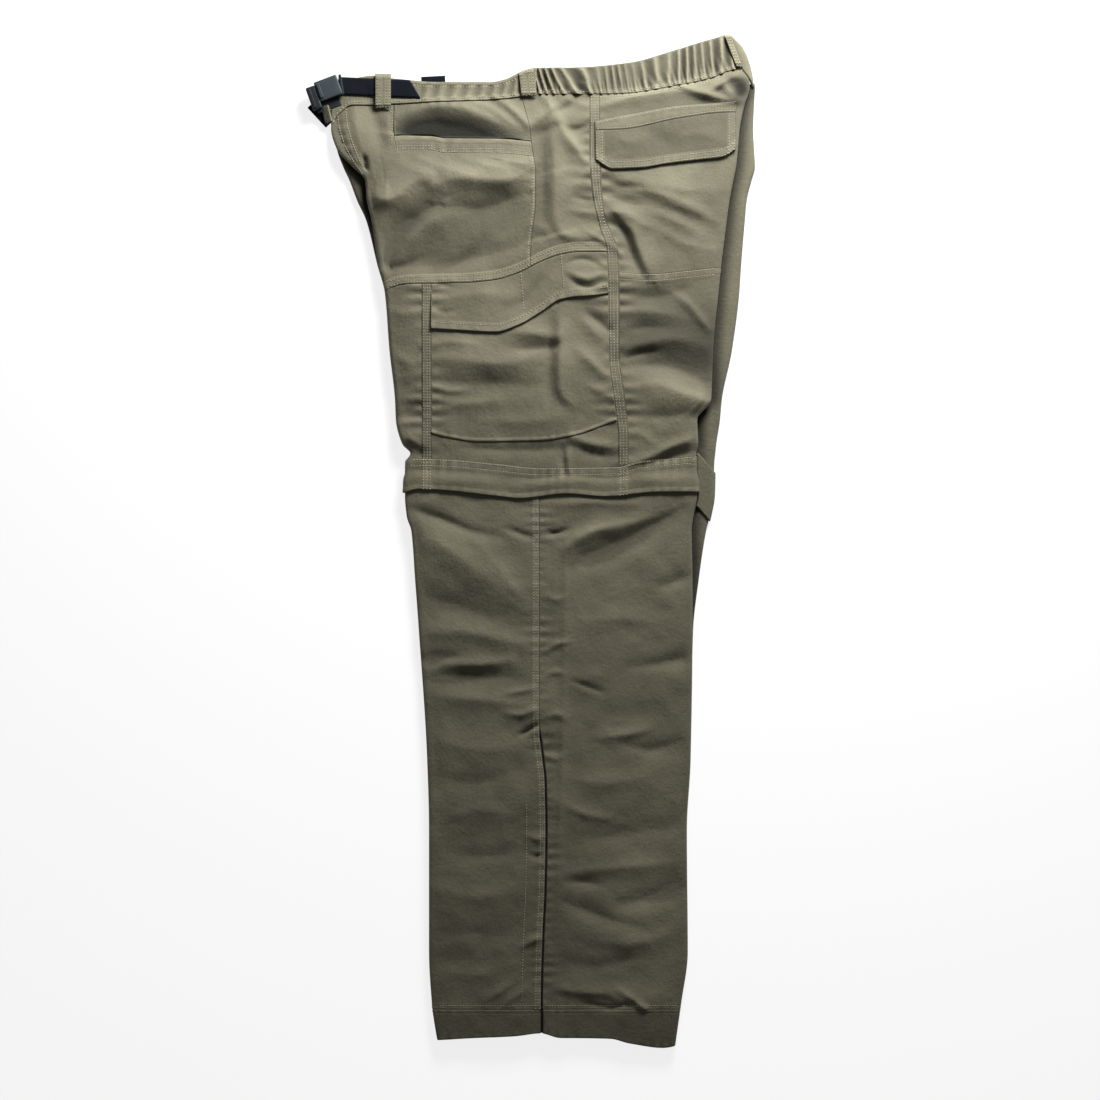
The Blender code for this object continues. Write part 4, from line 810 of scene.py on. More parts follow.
@dataclass
class Panel:
    """A piece of cloth on the top leg, between two side lines and two cross lines.

    A side that is None rolls under the leg.
    """

    name: str
    form: LegForm
    left: Line | None
    right: Line | None
    bottom: Line
    top: Line
    edges: dict[Side, Edge] = field(default_factory=dict)
    wall: float = 1.2
    lift: Lift | None = None
    turned: float = 1.0
    roll_steps: int = 10
    coarse: float = 2.4
    fine: float = 0.75
    pin: tuple[float, float] | None = None
    pin_share: float = 0.3
    pin_level: float = 0.72
    strips: tuple[Line, ...] = ()
    strip_half: float = 5.0
    strip_rise: float = 0.5
    strip_edge: float = 0.8
    strip_groove: float = 0.28
    strip_groove_width: float = 0.8
    # Paths of painted shade (below zero) and painted highlight (above zero) that change only the colour
    shades: tuple[Crease, ...] = ()
    # How much a lift darkens its valleys and lightens its crests: painted shade and painted highlight
    lift_wear: float = 0.0

    def edge(self, side: Side) -> Edge:
        """Returns how a side is sewn."""
        return self.edges.get(side, JOINED)

    def left_at(self, y: Array) -> Array:
        """Returns where the flat part starts."""
        return self.form.front_start(y) if self.left is None else self.left(y)

    def right_at(self, y: Array) -> Array:
        """Returns where the flat part ends."""
        return self.form.back_start(y) if self.right is None else self.right(y)

    def lines(self) -> tuple[Array, Array, Array, Array, Spread, float, float]:
        """Lays out the mesh lines.

        Returns:
            The kind, share, offset and half turns of each column, the spread of the rows, and the
            usual width and length.
        """
        middle_x = 0.0
        for _ in range(4):
            middle_y = 0.5 * (self.bottom(middle_x) + self.top(middle_x))
            middle_x = 0.5 * (self.left_at(middle_y) + self.right_at(middle_y))
        near = 0.0 if self.left is None else self.edge(Side.LEFT).zone
        far = 0.0 if self.right is None else self.edge(Side.RIGHT).zone
        width = float(self.right_at(middle_y) - self.left_at(middle_y))
        across = Spread.between(width, near, far, self.coarse, self.fine)
        kind = np.zeros(len(across.share), int)
        share, offset = across.share, across.offset
        turn = np.zeros(len(share))
        steps = np.arange(1, self.roll_steps + 1) / self.roll_steps * self.turned
        blank = np.zeros(len(steps))
        if self.left is None:
            kind = np.concatenate((np.full(len(steps), Kind.FRONT_ROLL.value), kind))
            share, offset = np.concatenate((blank, share)), np.concatenate((blank, offset))
            turn = np.concatenate((steps[::-1], turn))
        if self.right is None:
            kind = np.concatenate((kind, np.full(len(steps), Kind.BACK_ROLL.value)))
            share, offset = np.concatenate((share, blank + 1.0)), np.concatenate((offset, blank))
            turn = np.concatenate((turn, steps))
        length = float(self.top(middle_x) - self.bottom(middle_x))
        up = Spread.between(length, self.edge(Side.BOTTOM).zone, self.edge(Side.TOP).zone,
                            self.coarse, self.fine)
        return kind, share, offset, turn, up, width, length

    def relief(self, x: Array, y: Array) -> Array:
        """Returns the sewn relief at each place."""
        total = np.zeros_like(x)
        if self.left is not None:
            total = total + self.edge(Side.LEFT).relief(x - self.left(y), y)
        if self.right is not None:
            total = total + self.edge(Side.RIGHT).relief(self.right(y) - x, y)
        total = total + self.edge(Side.BOTTOM).relief(y - self.bottom(x), x)
        total = total + self.edge(Side.TOP).relief(self.top(x) - y, x)
        for strip in self.strips:
            away = np.abs(x - strip(y))
            within = smooth_step((self.strip_half + self.strip_edge - away) / (2.0 * self.strip_edge))
            total = total + self.strip_rise * within
            for row in STRIP_ROWS:
                off = (x - strip(y) - row) / self.strip_groove_width
                total = total - self.strip_groove * np.exp(-off ** 2)
        return total

    def raised(self, x: Array, y: Array) -> Array:
        """Returns the outer face's height over the form."""
        lift = self.lift(x, y) if self.lift is not None else 0.0
        return self.wall + lift + self.relief(x, y)

    def outer(self, x: Array, y: Array) -> Array:
        """Returns points on the flat part's outer face."""
        return self.form.point(np.zeros(x.shape, int), x, y, self.raised(x, y))

    def grid(self) -> tuple[Array, Array]:
        """Works out the mesh.

        Returns:
            The points by row and column, and the wear and painted shade of each.
        """
        kind, share, offset, turn, up, width, length = self.lines()
        shape = (len(up.share), len(kind))
        kind, turn = np.broadcast_to(kind, shape), np.broadcast_to(turn, shape)
        up_share, up_offset = up.share[:, None], up.offset[:, None]
        y = np.full(shape, float(0.5 * (self.bottom(0.0) + self.top(0.0))))
        for _ in range(LAYOUTS):
            left, right = self.left_at(y), self.right_at(y)
            room = np.clip((right - left) / width, 0.0, 1.0)
            flat_x = left + share * (right - left) + offset * room
            if self.pin is not None:
                break_at = self.pin_share
                near = left + share / break_at * (self.pin[0] - left)
                far = self.pin[0] + (share - break_at) / (1.0 - break_at) * (right - self.pin[0])
                flat_x = np.where(share < break_at, near,
                                  far + offset * (share - break_at) / (1.0 - break_at))
            reach = (self.form.roll + self.wall) * np.sin(np.pi * turn) * kind
            x = flat_x + reach
            bottom, top = self.bottom(x), self.top(x)
            room = np.clip((top - bottom) / length, 0.0, 1.0)
            y = bottom + up_share * (top - bottom) + up_offset * room
            if self.pin is not None:
                level = self.pin_level
                low = bottom + up_share / level * (self.pin[1] - bottom)
                high = self.pin[1] + (up_share - level) / (1.0 - level) * (top - self.pin[1])
                y = np.where(up_share < level, low + up_offset * (1.0 - up_share / level),
                             high + up_offset * (up_share - level) / (1.0 - level))
        raised = self.raised(x, y)
        value = np.where(kind == 0, flat_x, turn)
        # Colour: sewn relief and creases give painted shade in grooves and troughs and wear and painted
        # highlight on ridges; the shades add painted shade and painted highlight along their paths; a lift
        # adds painted shade in its valleys and painted highlight on its crests
        wear = RELIEF_WEAR_AND_SHADE * self.relief(x, y) + self.form.tint * self.form.creases(x, y)
        for shade in self.shades:
            shade.add_to(wear, x, y)
        if self.lift is not None:
            wear = wear + self.lift_wear * self.lift(x, y)
        return self.form.point(kind, value, y, raised), wear

    def build(self) -> bpy.types.Object:
        """Returns the cloth object."""
        points, wear = self.grid()
        return grid_object(self.name, points, wear, self.wall)

    def seam_rows(self, pitch: float) -> list[Array]:
        """Returns each stitch row as places (x, y), a pitch apart."""
        found = []
        for side in (Side.LEFT, Side.RIGHT, Side.BOTTOM, Side.TOP):
            line = getattr(self, side.value)
            if line is None:
                continue
            for row in self.edge(side).rows:
                inward = row if side in (Side.LEFT, Side.BOTTOM) else -row
                found.append(self.seam_row(side, moved(line, inward), pitch))
        for strip in self.strips:
            found += [self.seam_row(Side.LEFT, moved(strip, row), pitch) for row in STRIP_ROWS]
        return [row for row in found if len(row)]

    def seam_row(self, side: Side, line: Line, pitch: float) -> Array:
        """Returns the places of one row along a line."""
        if side in (Side.LEFT, Side.RIGHT):
            x0 = float(line(0.5 * (self.bottom(0.0) + self.top(0.0))))
            y = np.arange(float(self.bottom(x0)) + 1.0, float(self.top(x0)) - 1.0, pitch)
            x = line(y)
            keep = (y > self.bottom(x) + 0.8) & (y < self.top(x) - 0.8)
            return np.stack((x, y), axis=-1)[keep]
        x = np.arange(-230.0, 240.0, pitch)
        y = line(x)
        keep = (x > self.left_at(y) + 0.8) & (x < self.right_at(y) - 0.8)
        return np.stack((x, y), axis=-1)[keep]


@dataclass
class Stitching:
    """Rows of thread, each stitch a small rounded bar on the cloth."""

    length: float = 2.3
    width: float = 0.95
    height: float = 0.65
    pitch: float = 3.1
    sides: int = 6

    def bar(self) -> tuple[Array, list[tuple[int, ...]]]:
        """Returns one stitch's points and faces, along X with Z up."""
        turns = [2.0 * math.pi * step / self.sides for step in range(self.sides)]
        points = [(-0.5 * self.length, 0.0, 0.0)]
        for end in (-0.32, 0.32):
            points += [(end * self.length, 0.5 * self.width * math.cos(turn),
                        self.height * (0.35 + 0.65 * math.sin(turn))) for turn in turns]
        points.append((0.5 * self.length, 0.0, 0.0))
        last = len(points) - 1
        faces = []
        for step in range(self.sides):
            after = (step + 1) % self.sides
            faces.append((0, 1 + after, 1 + step))
            faces.append((1 + step, 1 + after, 1 + self.sides + after, 1 + self.sides + step))
            faces.append((last, 1 + self.sides + step, 1 + self.sides + after))
        return np.array(points), faces

    def placed(self, panel: Panel, places: Array, way: Array) -> Array:
        """Lays stitches on a panel.

        Args:
            panel: the panel.
            places: each stitch's place (x, y).
            way: each stitch's direction.

        Returns:
            The points of every stitch, in millimetres.
        """
        base = self.bar()[0]
        x, y = places[:, 0], places[:, 1]
        beside_x, beside_y = x - way[:, 1], y + way[:, 0]
        ahead_x, ahead_y = x + way[:, 0], y + way[:, 1]
        centre, ahead, beside = np.split(panel.outer(
            np.concatenate((x, ahead_x, beside_x)), np.concatenate((y, ahead_y, beside_y))), 3)
        ahead, beside = ahead - centre, beside - centre
        ahead /= np.linalg.norm(ahead, axis=1, keepdims=True)
        up = np.cross(ahead, beside)
        up /= np.linalg.norm(up, axis=1, keepdims=True)
        across = np.cross(up, ahead)
        laid = (centre[:, None, :] + base[None, :, 0:1] * ahead[:, None, :]
                + base[None, :, 1:2] * across[:, None, :] + base[None, :, 2:3] * up[:, None, :])
        return laid.reshape(-1, 3)

    def sew(self, name: str, rows: list[tuple[Panel, Array]]) -> bpy.types.Object:
        """Makes one mesh of all the stitches.

        Args:
            name: the object's name.
            rows: each panel, with the places (x, y) of one row of stitches on it.

        Returns:
            The object.
        """
        base, faces = self.bar()
        sewn: dict[str, tuple[Panel, list[Array], list[Array]]] = {}
        for panel, places in rows:
            if len(places) < 2:
                continue
            way = np.gradient(places, axis=0)
            way /= np.linalg.norm(way, axis=1, keepdims=True)
            known = sewn.setdefault(panel.name, (panel, [], []))
            known[1].append(places)
            known[2].append(way)
        points = np.concatenate([self.placed(panel, np.concatenate(places), np.concatenate(ways))
                                 for panel, places, ways in sewn.values()])
        joined = [tuple(index + start for index in face)
                  for start in range(0, len(points), len(base)) for face in faces]
        mesh = bpy.data.meshes.new(name)
        mesh.from_pydata((points * MM).tolist(), [], joined)
        mesh.shade_smooth()
        return linked(name, mesh)


def new_tree(name: str) -> tuple[bpy.types.Material, bpy.types.NodeTree, bpy.types.Node]:
    """Returns a new material, its nodes and its shader."""
    finish = bpy.data.materials.new(name)
    finish.use_nodes = True
    return finish, finish.node_tree, finish.node_tree.nodes["Principled BSDF"]


def add_node(tree: bpy.types.NodeTree, kind: str, **values: object) -> bpy.types.Node:
    """Adds a node and sets its values.

    Args:
        tree: the material's nodes.
        kind: the node's type.
        values: input sockets, or properties where no socket has that name.

    Returns:
        The node.
    """
    made = tree.nodes.new(kind)
    for key, value in values.items():
        title = key.replace("_", " ").title()
        if title in made.inputs:
            made.inputs[title].default_value = value
        else:
            setattr(made, key, value)
    return made


def add_texture(tree: bpy.types.NodeTree, place: bpy.types.NodeSocket, kind: str,
                **values: object) -> bpy.types.NodeSocket:
    """Adds a texture and returns its value.

    Args:
        tree: the material's nodes.
        place: where the texture is read.
        kind: the node's type.
        values: its settings.

    Returns:
        The socket with its value.
    """
    made = add_node(tree, kind, **values)
    tree.links.new(place, made.inputs["Vector"])
    return made.outputs["Fac"]


def add_range(tree: bpy.types.NodeTree, value: bpy.types.NodeSocket, given: tuple[float, float],
              wanted: tuple[float, float]) -> bpy.types.NodeSocket:
    """Maps a value from one span to another.

    Args:
        tree: the material's nodes.
        value: the socket with the value.
        given: the span that it has.
        wanted: the span that it gets.

    Returns:
        The socket with the mapped value.
    """
    made = add_node(tree, "ShaderNodeMapRange", from_min=given[0], from_max=given[1],
                    to_min=wanted[0], to_max=wanted[1])
    tree.links.new(value, made.inputs["Value"])
    return made.outputs["Result"]


def multiply(tree: bpy.types.NodeTree, first: bpy.types.NodeSocket,
             second: bpy.types.NodeSocket) -> bpy.types.NodeSocket:
    """Returns the product of two values."""
    made = add_node(tree, "ShaderNodeMath", operation="MULTIPLY")
    tree.links.new(first, made.inputs[0])
    tree.links.new(second, made.inputs[1])
    return made.outputs[0]


def shade_with(tree: bpy.types.NodeTree, shader: bpy.types.Node, colour: tuple[float, float, float],
               amount: bpy.types.NodeSocket) -> None:
    """Sets the shader's colour to one colour times an amount.

    Args:
        tree: the material's nodes.
        shader: its shader.
        colour: the colour.
        amount: the socket with the amount.
    """
    shade = add_node(tree, "ShaderNodeVectorMath", operation="SCALE")
    shade.inputs[0].default_value = colour
    tree.links.new(amount, shade.inputs["Scale"])
    tree.links.new(shade.outputs["Vector"], shader.inputs["Base Color"])


def add_bump(tree: bpy.types.NodeTree, height: bpy.types.NodeSocket, target: bpy.types.NodeSocket,
             strength: float, distance: float) -> bpy.types.Node:
    """Adds a bump.

    Args:
        tree: the material's nodes.
        height: the socket with the height.
        target: the socket that takes the normal.
        strength: how strong the bump is.
        distance: its depth in metres.

    Returns:
        The node.
    """
    made = add_node(tree, "ShaderNodeBump", strength=strength, distance=distance)
    tree.links.new(height, made.inputs["Height"])
    tree.links.new(made.outputs["Normal"], target)
    return made


# The span of a texture's value
WHOLE = (0.0, 1.0)


@dataclass(frozen=True)
class ClothFinish:
    """Washed twill: a fine diagonal weave, soft mottling, wear and painted highlight on ridges, and painted
    shade in hollows, creases and grooves.
    """

    name: str
    colour: tuple[float, float, float]
    # How much lighter the sharpest ridge gets (wear and painted highlight), and how much darker the deepest
    # hollow gets (painted shade)
    worn: float = 0.25
    depth: float = 0.92
    twill: float = 900.0
    roughness: float = 0.84

    def make(self) -> bpy.types.Material:
        """Returns the material."""
        finish, tree, shader = new_tree(self.name)
        place = add_node(tree, "ShaderNodeTexCoord").outputs["Object"]
        patches = add_texture(tree, place, "ShaderNodeTexNoise", scale=26.0, detail=4.0, roughness=0.6)
        grain = add_texture(tree, place, "ShaderNodeTexNoise", scale=1100.0, detail=2.0, roughness=0.7)
        crinkle = add_texture(tree, place, "ShaderNodeTexNoise", scale=230.0, detail=5.0, roughness=0.62)
        weave = add_texture(tree, place, "ShaderNodeTexWave", scale=self.twill, distortion=1.2,
                            detail=1.0, bands_direction="DIAGONAL")
        # The wear and shade attribute darkens the colour in hollows, creases and grooves as painted shade,
        # and lightens it on ridges as wear and painted highlight
        wear = add_node(tree, "ShaderNodeAttribute", attribute_name="wear").outputs["Fac"]
        tone = add_range(tree, patches, (0.3, 0.7), (0.90, 1.10))
        speck = add_range(tree, grain, (0.25, 0.75), (0.88, 1.12))
        wear_and_shade_factor = add_range(tree, wear, (WEAR_AND_SHADE_LOW, WEAR_AND_SHADE_HIGH), (1.0 - self.depth, 1.0 + self.worn))
        shade_with(tree, shader, self.colour, multiply(tree, multiply(tree, tone, speck), wear_and_shade_factor))
        soft = add_bump(tree, crinkle, shader.inputs["Normal"], 0.6, 0.0011)
        add_bump(tree, weave, soft.inputs["Normal"], 0.35, 0.00018)
        shader.inputs["Roughness"].default_value = self.roughness
        shader.inputs["Specular IOR Level"].default_value = 0.25
        shader.inputs["Sheen Weight"].default_value = 0.12
        shader.inputs["Sheen Roughness"].default_value = 0.5
        return finish


@dataclass(frozen=True)
class WebbingFinish:
    """Woven belt webbing with ribs across it."""

    name: str
    colour: tuple[float, float, float]
    rib: float = 260.0

    def make(self) -> bpy.types.Material:
        """Returns the material."""
        finish, tree, shader = new_tree(self.name)
        place = add_node(tree, "ShaderNodeTexCoord").outputs["Object"]
        ribs = add_texture(tree, place, "ShaderNodeTexWave", scale=self.rib, distortion=0.6,
                           detail=1.0, bands_direction="X")
        grain = add_texture(tree, place, "ShaderNodeTexNoise", scale=900.0, detail=3.0)
        shade_with(tree, shader, self.colour, add_range(tree, grain, WHOLE, (0.6, 1.5)))
        add_bump(tree, ribs, shader.inputs["Normal"], 0.5, 0.0003)
        shader.inputs["Roughness"].default_value = 0.85
        shader.inputs["Specular IOR Level"].default_value = 0.06
        return finish


@dataclass(frozen=True)
class PlasticFinish:
    """Moulded plastic with a very fine grain."""

    name: str
    colour: tuple[float, float, float]
    roughness: float = 0.42

    def make(self) -> bpy.types.Material:
        """Returns the material."""
        finish, tree, shader = new_tree(self.name)
        place = add_node(tree, "ShaderNodeTexCoord").outputs["Object"]
        grain = add_texture(tree, place, "ShaderNodeTexNoise", scale=1500.0, detail=2.0)
        scuffs = add_texture(tree, place, "ShaderNodeTexNoise", scale=160.0, detail=4.0)
        shade_with(tree, shader, self.colour, add_range(tree, scuffs, WHOLE, (0.85, 1.15)))
        add_bump(tree, grain, shader.inputs["Normal"], 0.25, 0.0001)
        shader.inputs["Roughness"].default_value = self.roughness
        shader.inputs["Specular IOR Level"].default_value = 0.3
        return finish


OLIVE = (0.150, 0.140, 0.094)
# A darker copy of the olive for the layers that lie in shadow: painted shade
OLIVE_SHADED = (0.112, 0.105, 0.072)
THREAD = (0.30, 0.284, 0.205)


class Slot(Enum):
    """The record's material slots."""

    CLOTH = "cloth"
    INSIDE = "cloth_inside"
    WEBBING = "webbing"
    BUCKLE = "buckle"
    ZIP = "zip"


@dataclass
class Wardrobe:
    """Hands out the finishes and dresses each piece."""

    cloth: bpy.types.Material = field(init=False)
    inside: bpy.types.Material = field(init=False)
    thread: bpy.types.Material = field(init=False)
    webbing: bpy.types.Material = field(init=False)
    slate: bpy.types.Material = field(init=False)
    dark: bpy.types.Material = field(init=False)
    tape: bpy.types.Material = field(init=False)

    def __post_init__(self) -> None:
        """Makes the materials."""
        self.cloth = ClothFinish("olive_twill", OLIVE).make()
        # The inside finish is the olive in painted shade
        self.inside = ClothFinish("olive_twill_inside", OLIVE_SHADED).make()
        self.thread = ClothFinish("olive_thread", THREAD, worn=0.0, depth=0.0).make()
        self.webbing = WebbingFinish("belt_webbing", (0.006, 0.007, 0.011)).make()
        self.slate = PlasticFinish("buckle_slate", (0.040, 0.051, 0.057)).make()
        self.dark = PlasticFinish("buckle_dark", (0.010, 0.013, 0.016), 0.5).make()
        self.tape = WebbingFinish("zip_tape", (0.020, 0.020, 0.022), rib=520.0).make()

    def dress(self, item: bpy.types.Object, finish: bpy.types.Material, slot: Slot, *nodes: str) -> None:
        """Gives a piece its finish and body, and hides the solids that it stands for.

        Args:
            item: the piece.
            finish: its material.
            slot: not used.
            nodes: the solids that it replaces.
        """
        item.data.materials.clear()
        item.data.materials.append(finish)
        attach(item, "root")
        if nodes:
            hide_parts(*nodes)
        LOG.info("%s: %d faces", item.name, len(item.data.polygons))

    def cloth_piece(self, name: str, points: Array, wear: Array, wall: float, node: str,
                    wrap: bool = False) -> None:
        """Makes a cloth piece from a grid and dresses it.

        Args:
            name: the piece's name.
            points: rows, columns and X, Y, Z in millimetres.
            wear: the wear and painted shade of each point.
            wall: the cloth's thickness.
            node: the solid that it replaces.
            wrap: whether the grid closes into a tube.
        """
        item = grid_object(name, points, wear, wall, wrap)
        self.dress(item, self.cloth, Slot.CLOTH, node)

    def panel(self, panel: Panel, node: str, held: str = "folded") -> None:
        """Builds a panel of cloth."""
        points, wear = panel.grid()
        self.cloth_piece(panel.name, points, wear, panel.wall, node)

    def sewn(self, name: str, panels: list[Panel], extra: list[tuple[Panel, Array]] = ()) -> None:
        """Sews the stitch rows of several panels as one piece."""
        stitching = Stitching()
        rows = [(panel, row) for panel in panels for row in panel.seam_rows(stitching.pitch)]
        item = stitching.sew(name, rows + list(extra))
        self.dress(item, self.thread, Slot.CLOTH)

    def panels(self, panels: dict[str, Panel], stitches: str,
               extra: list[tuple[Panel, Array]] = ()) -> None:
        """Builds panels, each for the node that it is named by, and sews their stitch rows."""
        for node, panel in panels.items():
            self.panel(panel, node)
        self.sewn(stitches, list(panels.values()), extra)


def along(path: tuple[tuple[float, float], ...], pitch: float) -> Array:
    """Returns places (x, y) a pitch apart along a path of straight lines."""
    knots = np.array(path, float)
    far = np.concatenate(([0.0], np.cumsum(np.linalg.norm(np.diff(knots, axis=0), axis=1))))
    steps = np.arange(0.0, far[-1], pitch)
    return np.stack((np.interp(steps, far, knots[:, 0]), np.interp(steps, far, knots[:, 1])), axis=-1)


@dataclass
class Thigh:
    """The upper leg: front, side, seat and back, with the hip pocket let into the front."""

    form: LegForm
    fell: float = 1.9
    pocket_hem: float = 17.0
    pocket_left: float = -149.6
    pocket_corner: float = 0.1
    facing_gap: float = 0.6
    fell_left: float = -119.0
    fell_right: float = -109.5
    fly_outer: tuple[tuple[float, float], ...] = (
        (-211, 461), (-209, 446), (-203, 427), (-193, 409), (-184, 396))
    fly_inner: tuple[tuple[float, float], ...] = (
        (-202, 466), (-200, 448), (-194, 428), (-187, 410), (-179, 397))
    pocket_end: tuple[tuple[float, float], ...] = ((-152, 466), (-152, 427))

    def front_top(self, x: Array) -> Array:
        """Returns the front panel's upper edge: the waist seam, then down to the pocket's hem."""
        start, end = self.pocket_left - 0.1, self.pocket_left + 3.0
        ramp = np.clip((x - start) / (end - start), 0.0, 1.0)
        half = 0.5 * self.form.seam_gap
        return ((waist_seam(x) - half) * (1.0 - ramp)
                + (pocket_edge(x) - self.pocket_hem - half) * ramp)

    def panels(self) -> dict[str, Panel]:
        """Returns the panels by node name."""
        form, half = self.form, 0.5 * self.form.seam_gap
        triple = Edge(ridge=0.0, width=5.0, rows=(1.7, 5.3), lip=0.22, pucker=0.16)
        return {
            "front_panel": Panel(
                "front_panel_cloth", form, None, moved(front_seam, -half),
                moved(cargo_seam, half), self.front_top,
                {Side.BOTTOM: DOUBLE, Side.RIGHT: Edge(ridge=0.3, width=3.0, rows=(2.0,), lip=0.3,
                                                       pucker=0.3, pucker_reach=9.0),
                 Side.TOP: FLUSH}, pin=(self.pocket_left - 0.1, 404.0),
                coarse=1.7,
                # Painted shade over the hollow on the front panel
                shades=(Crease(((-160, 322, -0.25), (-130, 335, -0.5), (-90, 344, -0.55),
                                (-50, 350, -0.5), (-14, 362, -0.2)), 26, 36, power=2.6),)),
            "front_pocket_facing": Panel(
                "front_pocket_facing_cloth", form, steady(self.pocket_left), moved(front_seam, -half),
                moved(pocket_edge, self.facing_gap), moved(waist_seam, -half),
                {Side.LEFT: Edge(lip=0.2, pucker=0.2), Side.TOP: Edge(lip=0.4, pucker=0.25)},
                # Painted shadow in the hip pocket's mouth
                shades=(Crease(((-156, 424, -0.9), (-130, 436, -1.9), (-103, 442, -2.2),
                                (-75, 438, -2.2), (-48, 429, -1.8), (-16, 412, -1.0)),
                               22, 22, power=3.4),)),
            "front_pocket_hem": Panel(
                "front_pocket_hem_cloth", form, steady(self.pocket_left),
                moved(front_seam, -self.pocket_corner), moved(pocket_edge, -self.pocket_hem),
                moved(pocket_edge, -self.facing_gap),
                {Side.BOTTOM: Edge(width=6.0, rows=(1.2, 5.0), lip=0.0, pucker=0.3, pucker_reach=8.0),
                 Side.TOP: Edge(ridge=0.3, width=4.0, rows=(), lip=0.6, pucker=0.35, wave=17.0)}),
            "side_panel": Panel(
                "side_panel_cloth", form, moved(front_seam, half), moved(side_seam, -half),
                moved(cargo_seam, half), moved(waist_seam, -half),
                {Side.BOTTOM: DOUBLE, Side.RIGHT: BESIDE_STRIP},
                # Painted shade along a vertical hollow on the side panel
                shades=(Crease(((6, 325, -0.2), (9, 370, -0.6), (9, 425, -0.7), (12, 446, -0.4)), 12, 13,
                               power=2.2),)),
            "side_fell": Panel(
                "side_fell_cloth", form, moved(side_seam, half), moved(side_fell, -half),
                moved(knee_seam, half), moved(waist_seam, -half),
                {Side.LEFT: triple, Side.RIGHT: Edge(width=1.6, rows=(1.5,), lip=0.22)},
                wall=self.fell),
            "front_fell": Panel(
                "front_fell_cloth", form, steady(self.fell_left + half),
                steady(self.fell_right - half), moved(knee_seam, half), moved(cargo_seam, -half),
                {Side.LEFT: triple, Side.RIGHT: Edge(width=1.6, rows=(1.3,), lip=0.22)},
                wall=self.fell),
            "seat_panel": Panel(
                "seat_panel_cloth", form, moved(side_fell, half), None,
                moved(seat_seam, half), moved(waist_seam, -half),
                {Side.TOP: SINGLE, Side.LEFT: BESIDE_STRIP, Side.BOTTOM: FLUSH},
                # Painted shadow in the star fold's hollow, and painted shade along the top of the seat
                shades=(Crease(((214, 499, -0.8), (226, 490, -1.9), (223, 477, -1.2)), 9, 9,
                               power=2.4),
                        Crease(((78, 466, -0.3), (125, 472, -0.5), (180, 480, -0.6), (212, 478, -0.8)),
                               8, 14, power=2.2))),
            "thigh_back_panel": Panel(
                "thigh_back_panel_cloth", form, moved(side_fell, half), None,
                moved(knee_seam, half), moved(seat_seam, -half),
                {Side.TOP: Edge(ridge=0.2, width=8.0, rows=(0.8, 7.0), lip=0.0, pucker=0.2),
                 Side.BOTTOM: FLUSH, Side.LEFT: BESIDE_STRIP},
                # Painted shade over the dark diagonal hollow, and a painted highlight along the bright fold
                shades=(Crease(((95, 236, -0.8), (140, 228, -1.2), (192, 210, -1.2)), 42, 36,
                               power=2.6),
                        Crease(((122, 154, 0.4), (150, 153, 0.9), (176, 147, 1.0),
                                (190, 145, 0.8)), 13, 17, power=2.2))),
            "thigh_front_panel": Panel(
                "thigh_front_panel_cloth", form, None, steady(self.fell_left - half),
                moved(knee_seam, half), moved(cargo_seam, -half),
                {Side.BOTTOM: FLUSH, Side.RIGHT: BESIDE_STRIP}),
        }

    def make(self, wardrobe: Wardrobe) -> None:
        """Builds and dresses the thigh."""
        panels = self.panels()
        front = panels["front_panel"]
        rows = [(front, along(path, Stitching().pitch)) for path in (self.fly_outer, self.fly_inner,
                                                                     self.pocket_end)]
        wardrobe.panels(panels, "thigh_stitching", rows)


def lift_over(form: LegForm, edge: Line) -> Lift:
    """Returns how far a flap is lifted to lie over a piece that ends at the edge line."""
    clear, ramp = 9.0, 7.0

    def lift(x: Array, y: Array) -> Array:
        """Returns the lift at each place."""
        return (form.cloth + form.lay_gap) * smooth_step((edge(x) + clear - y) / ramp)

    return lift


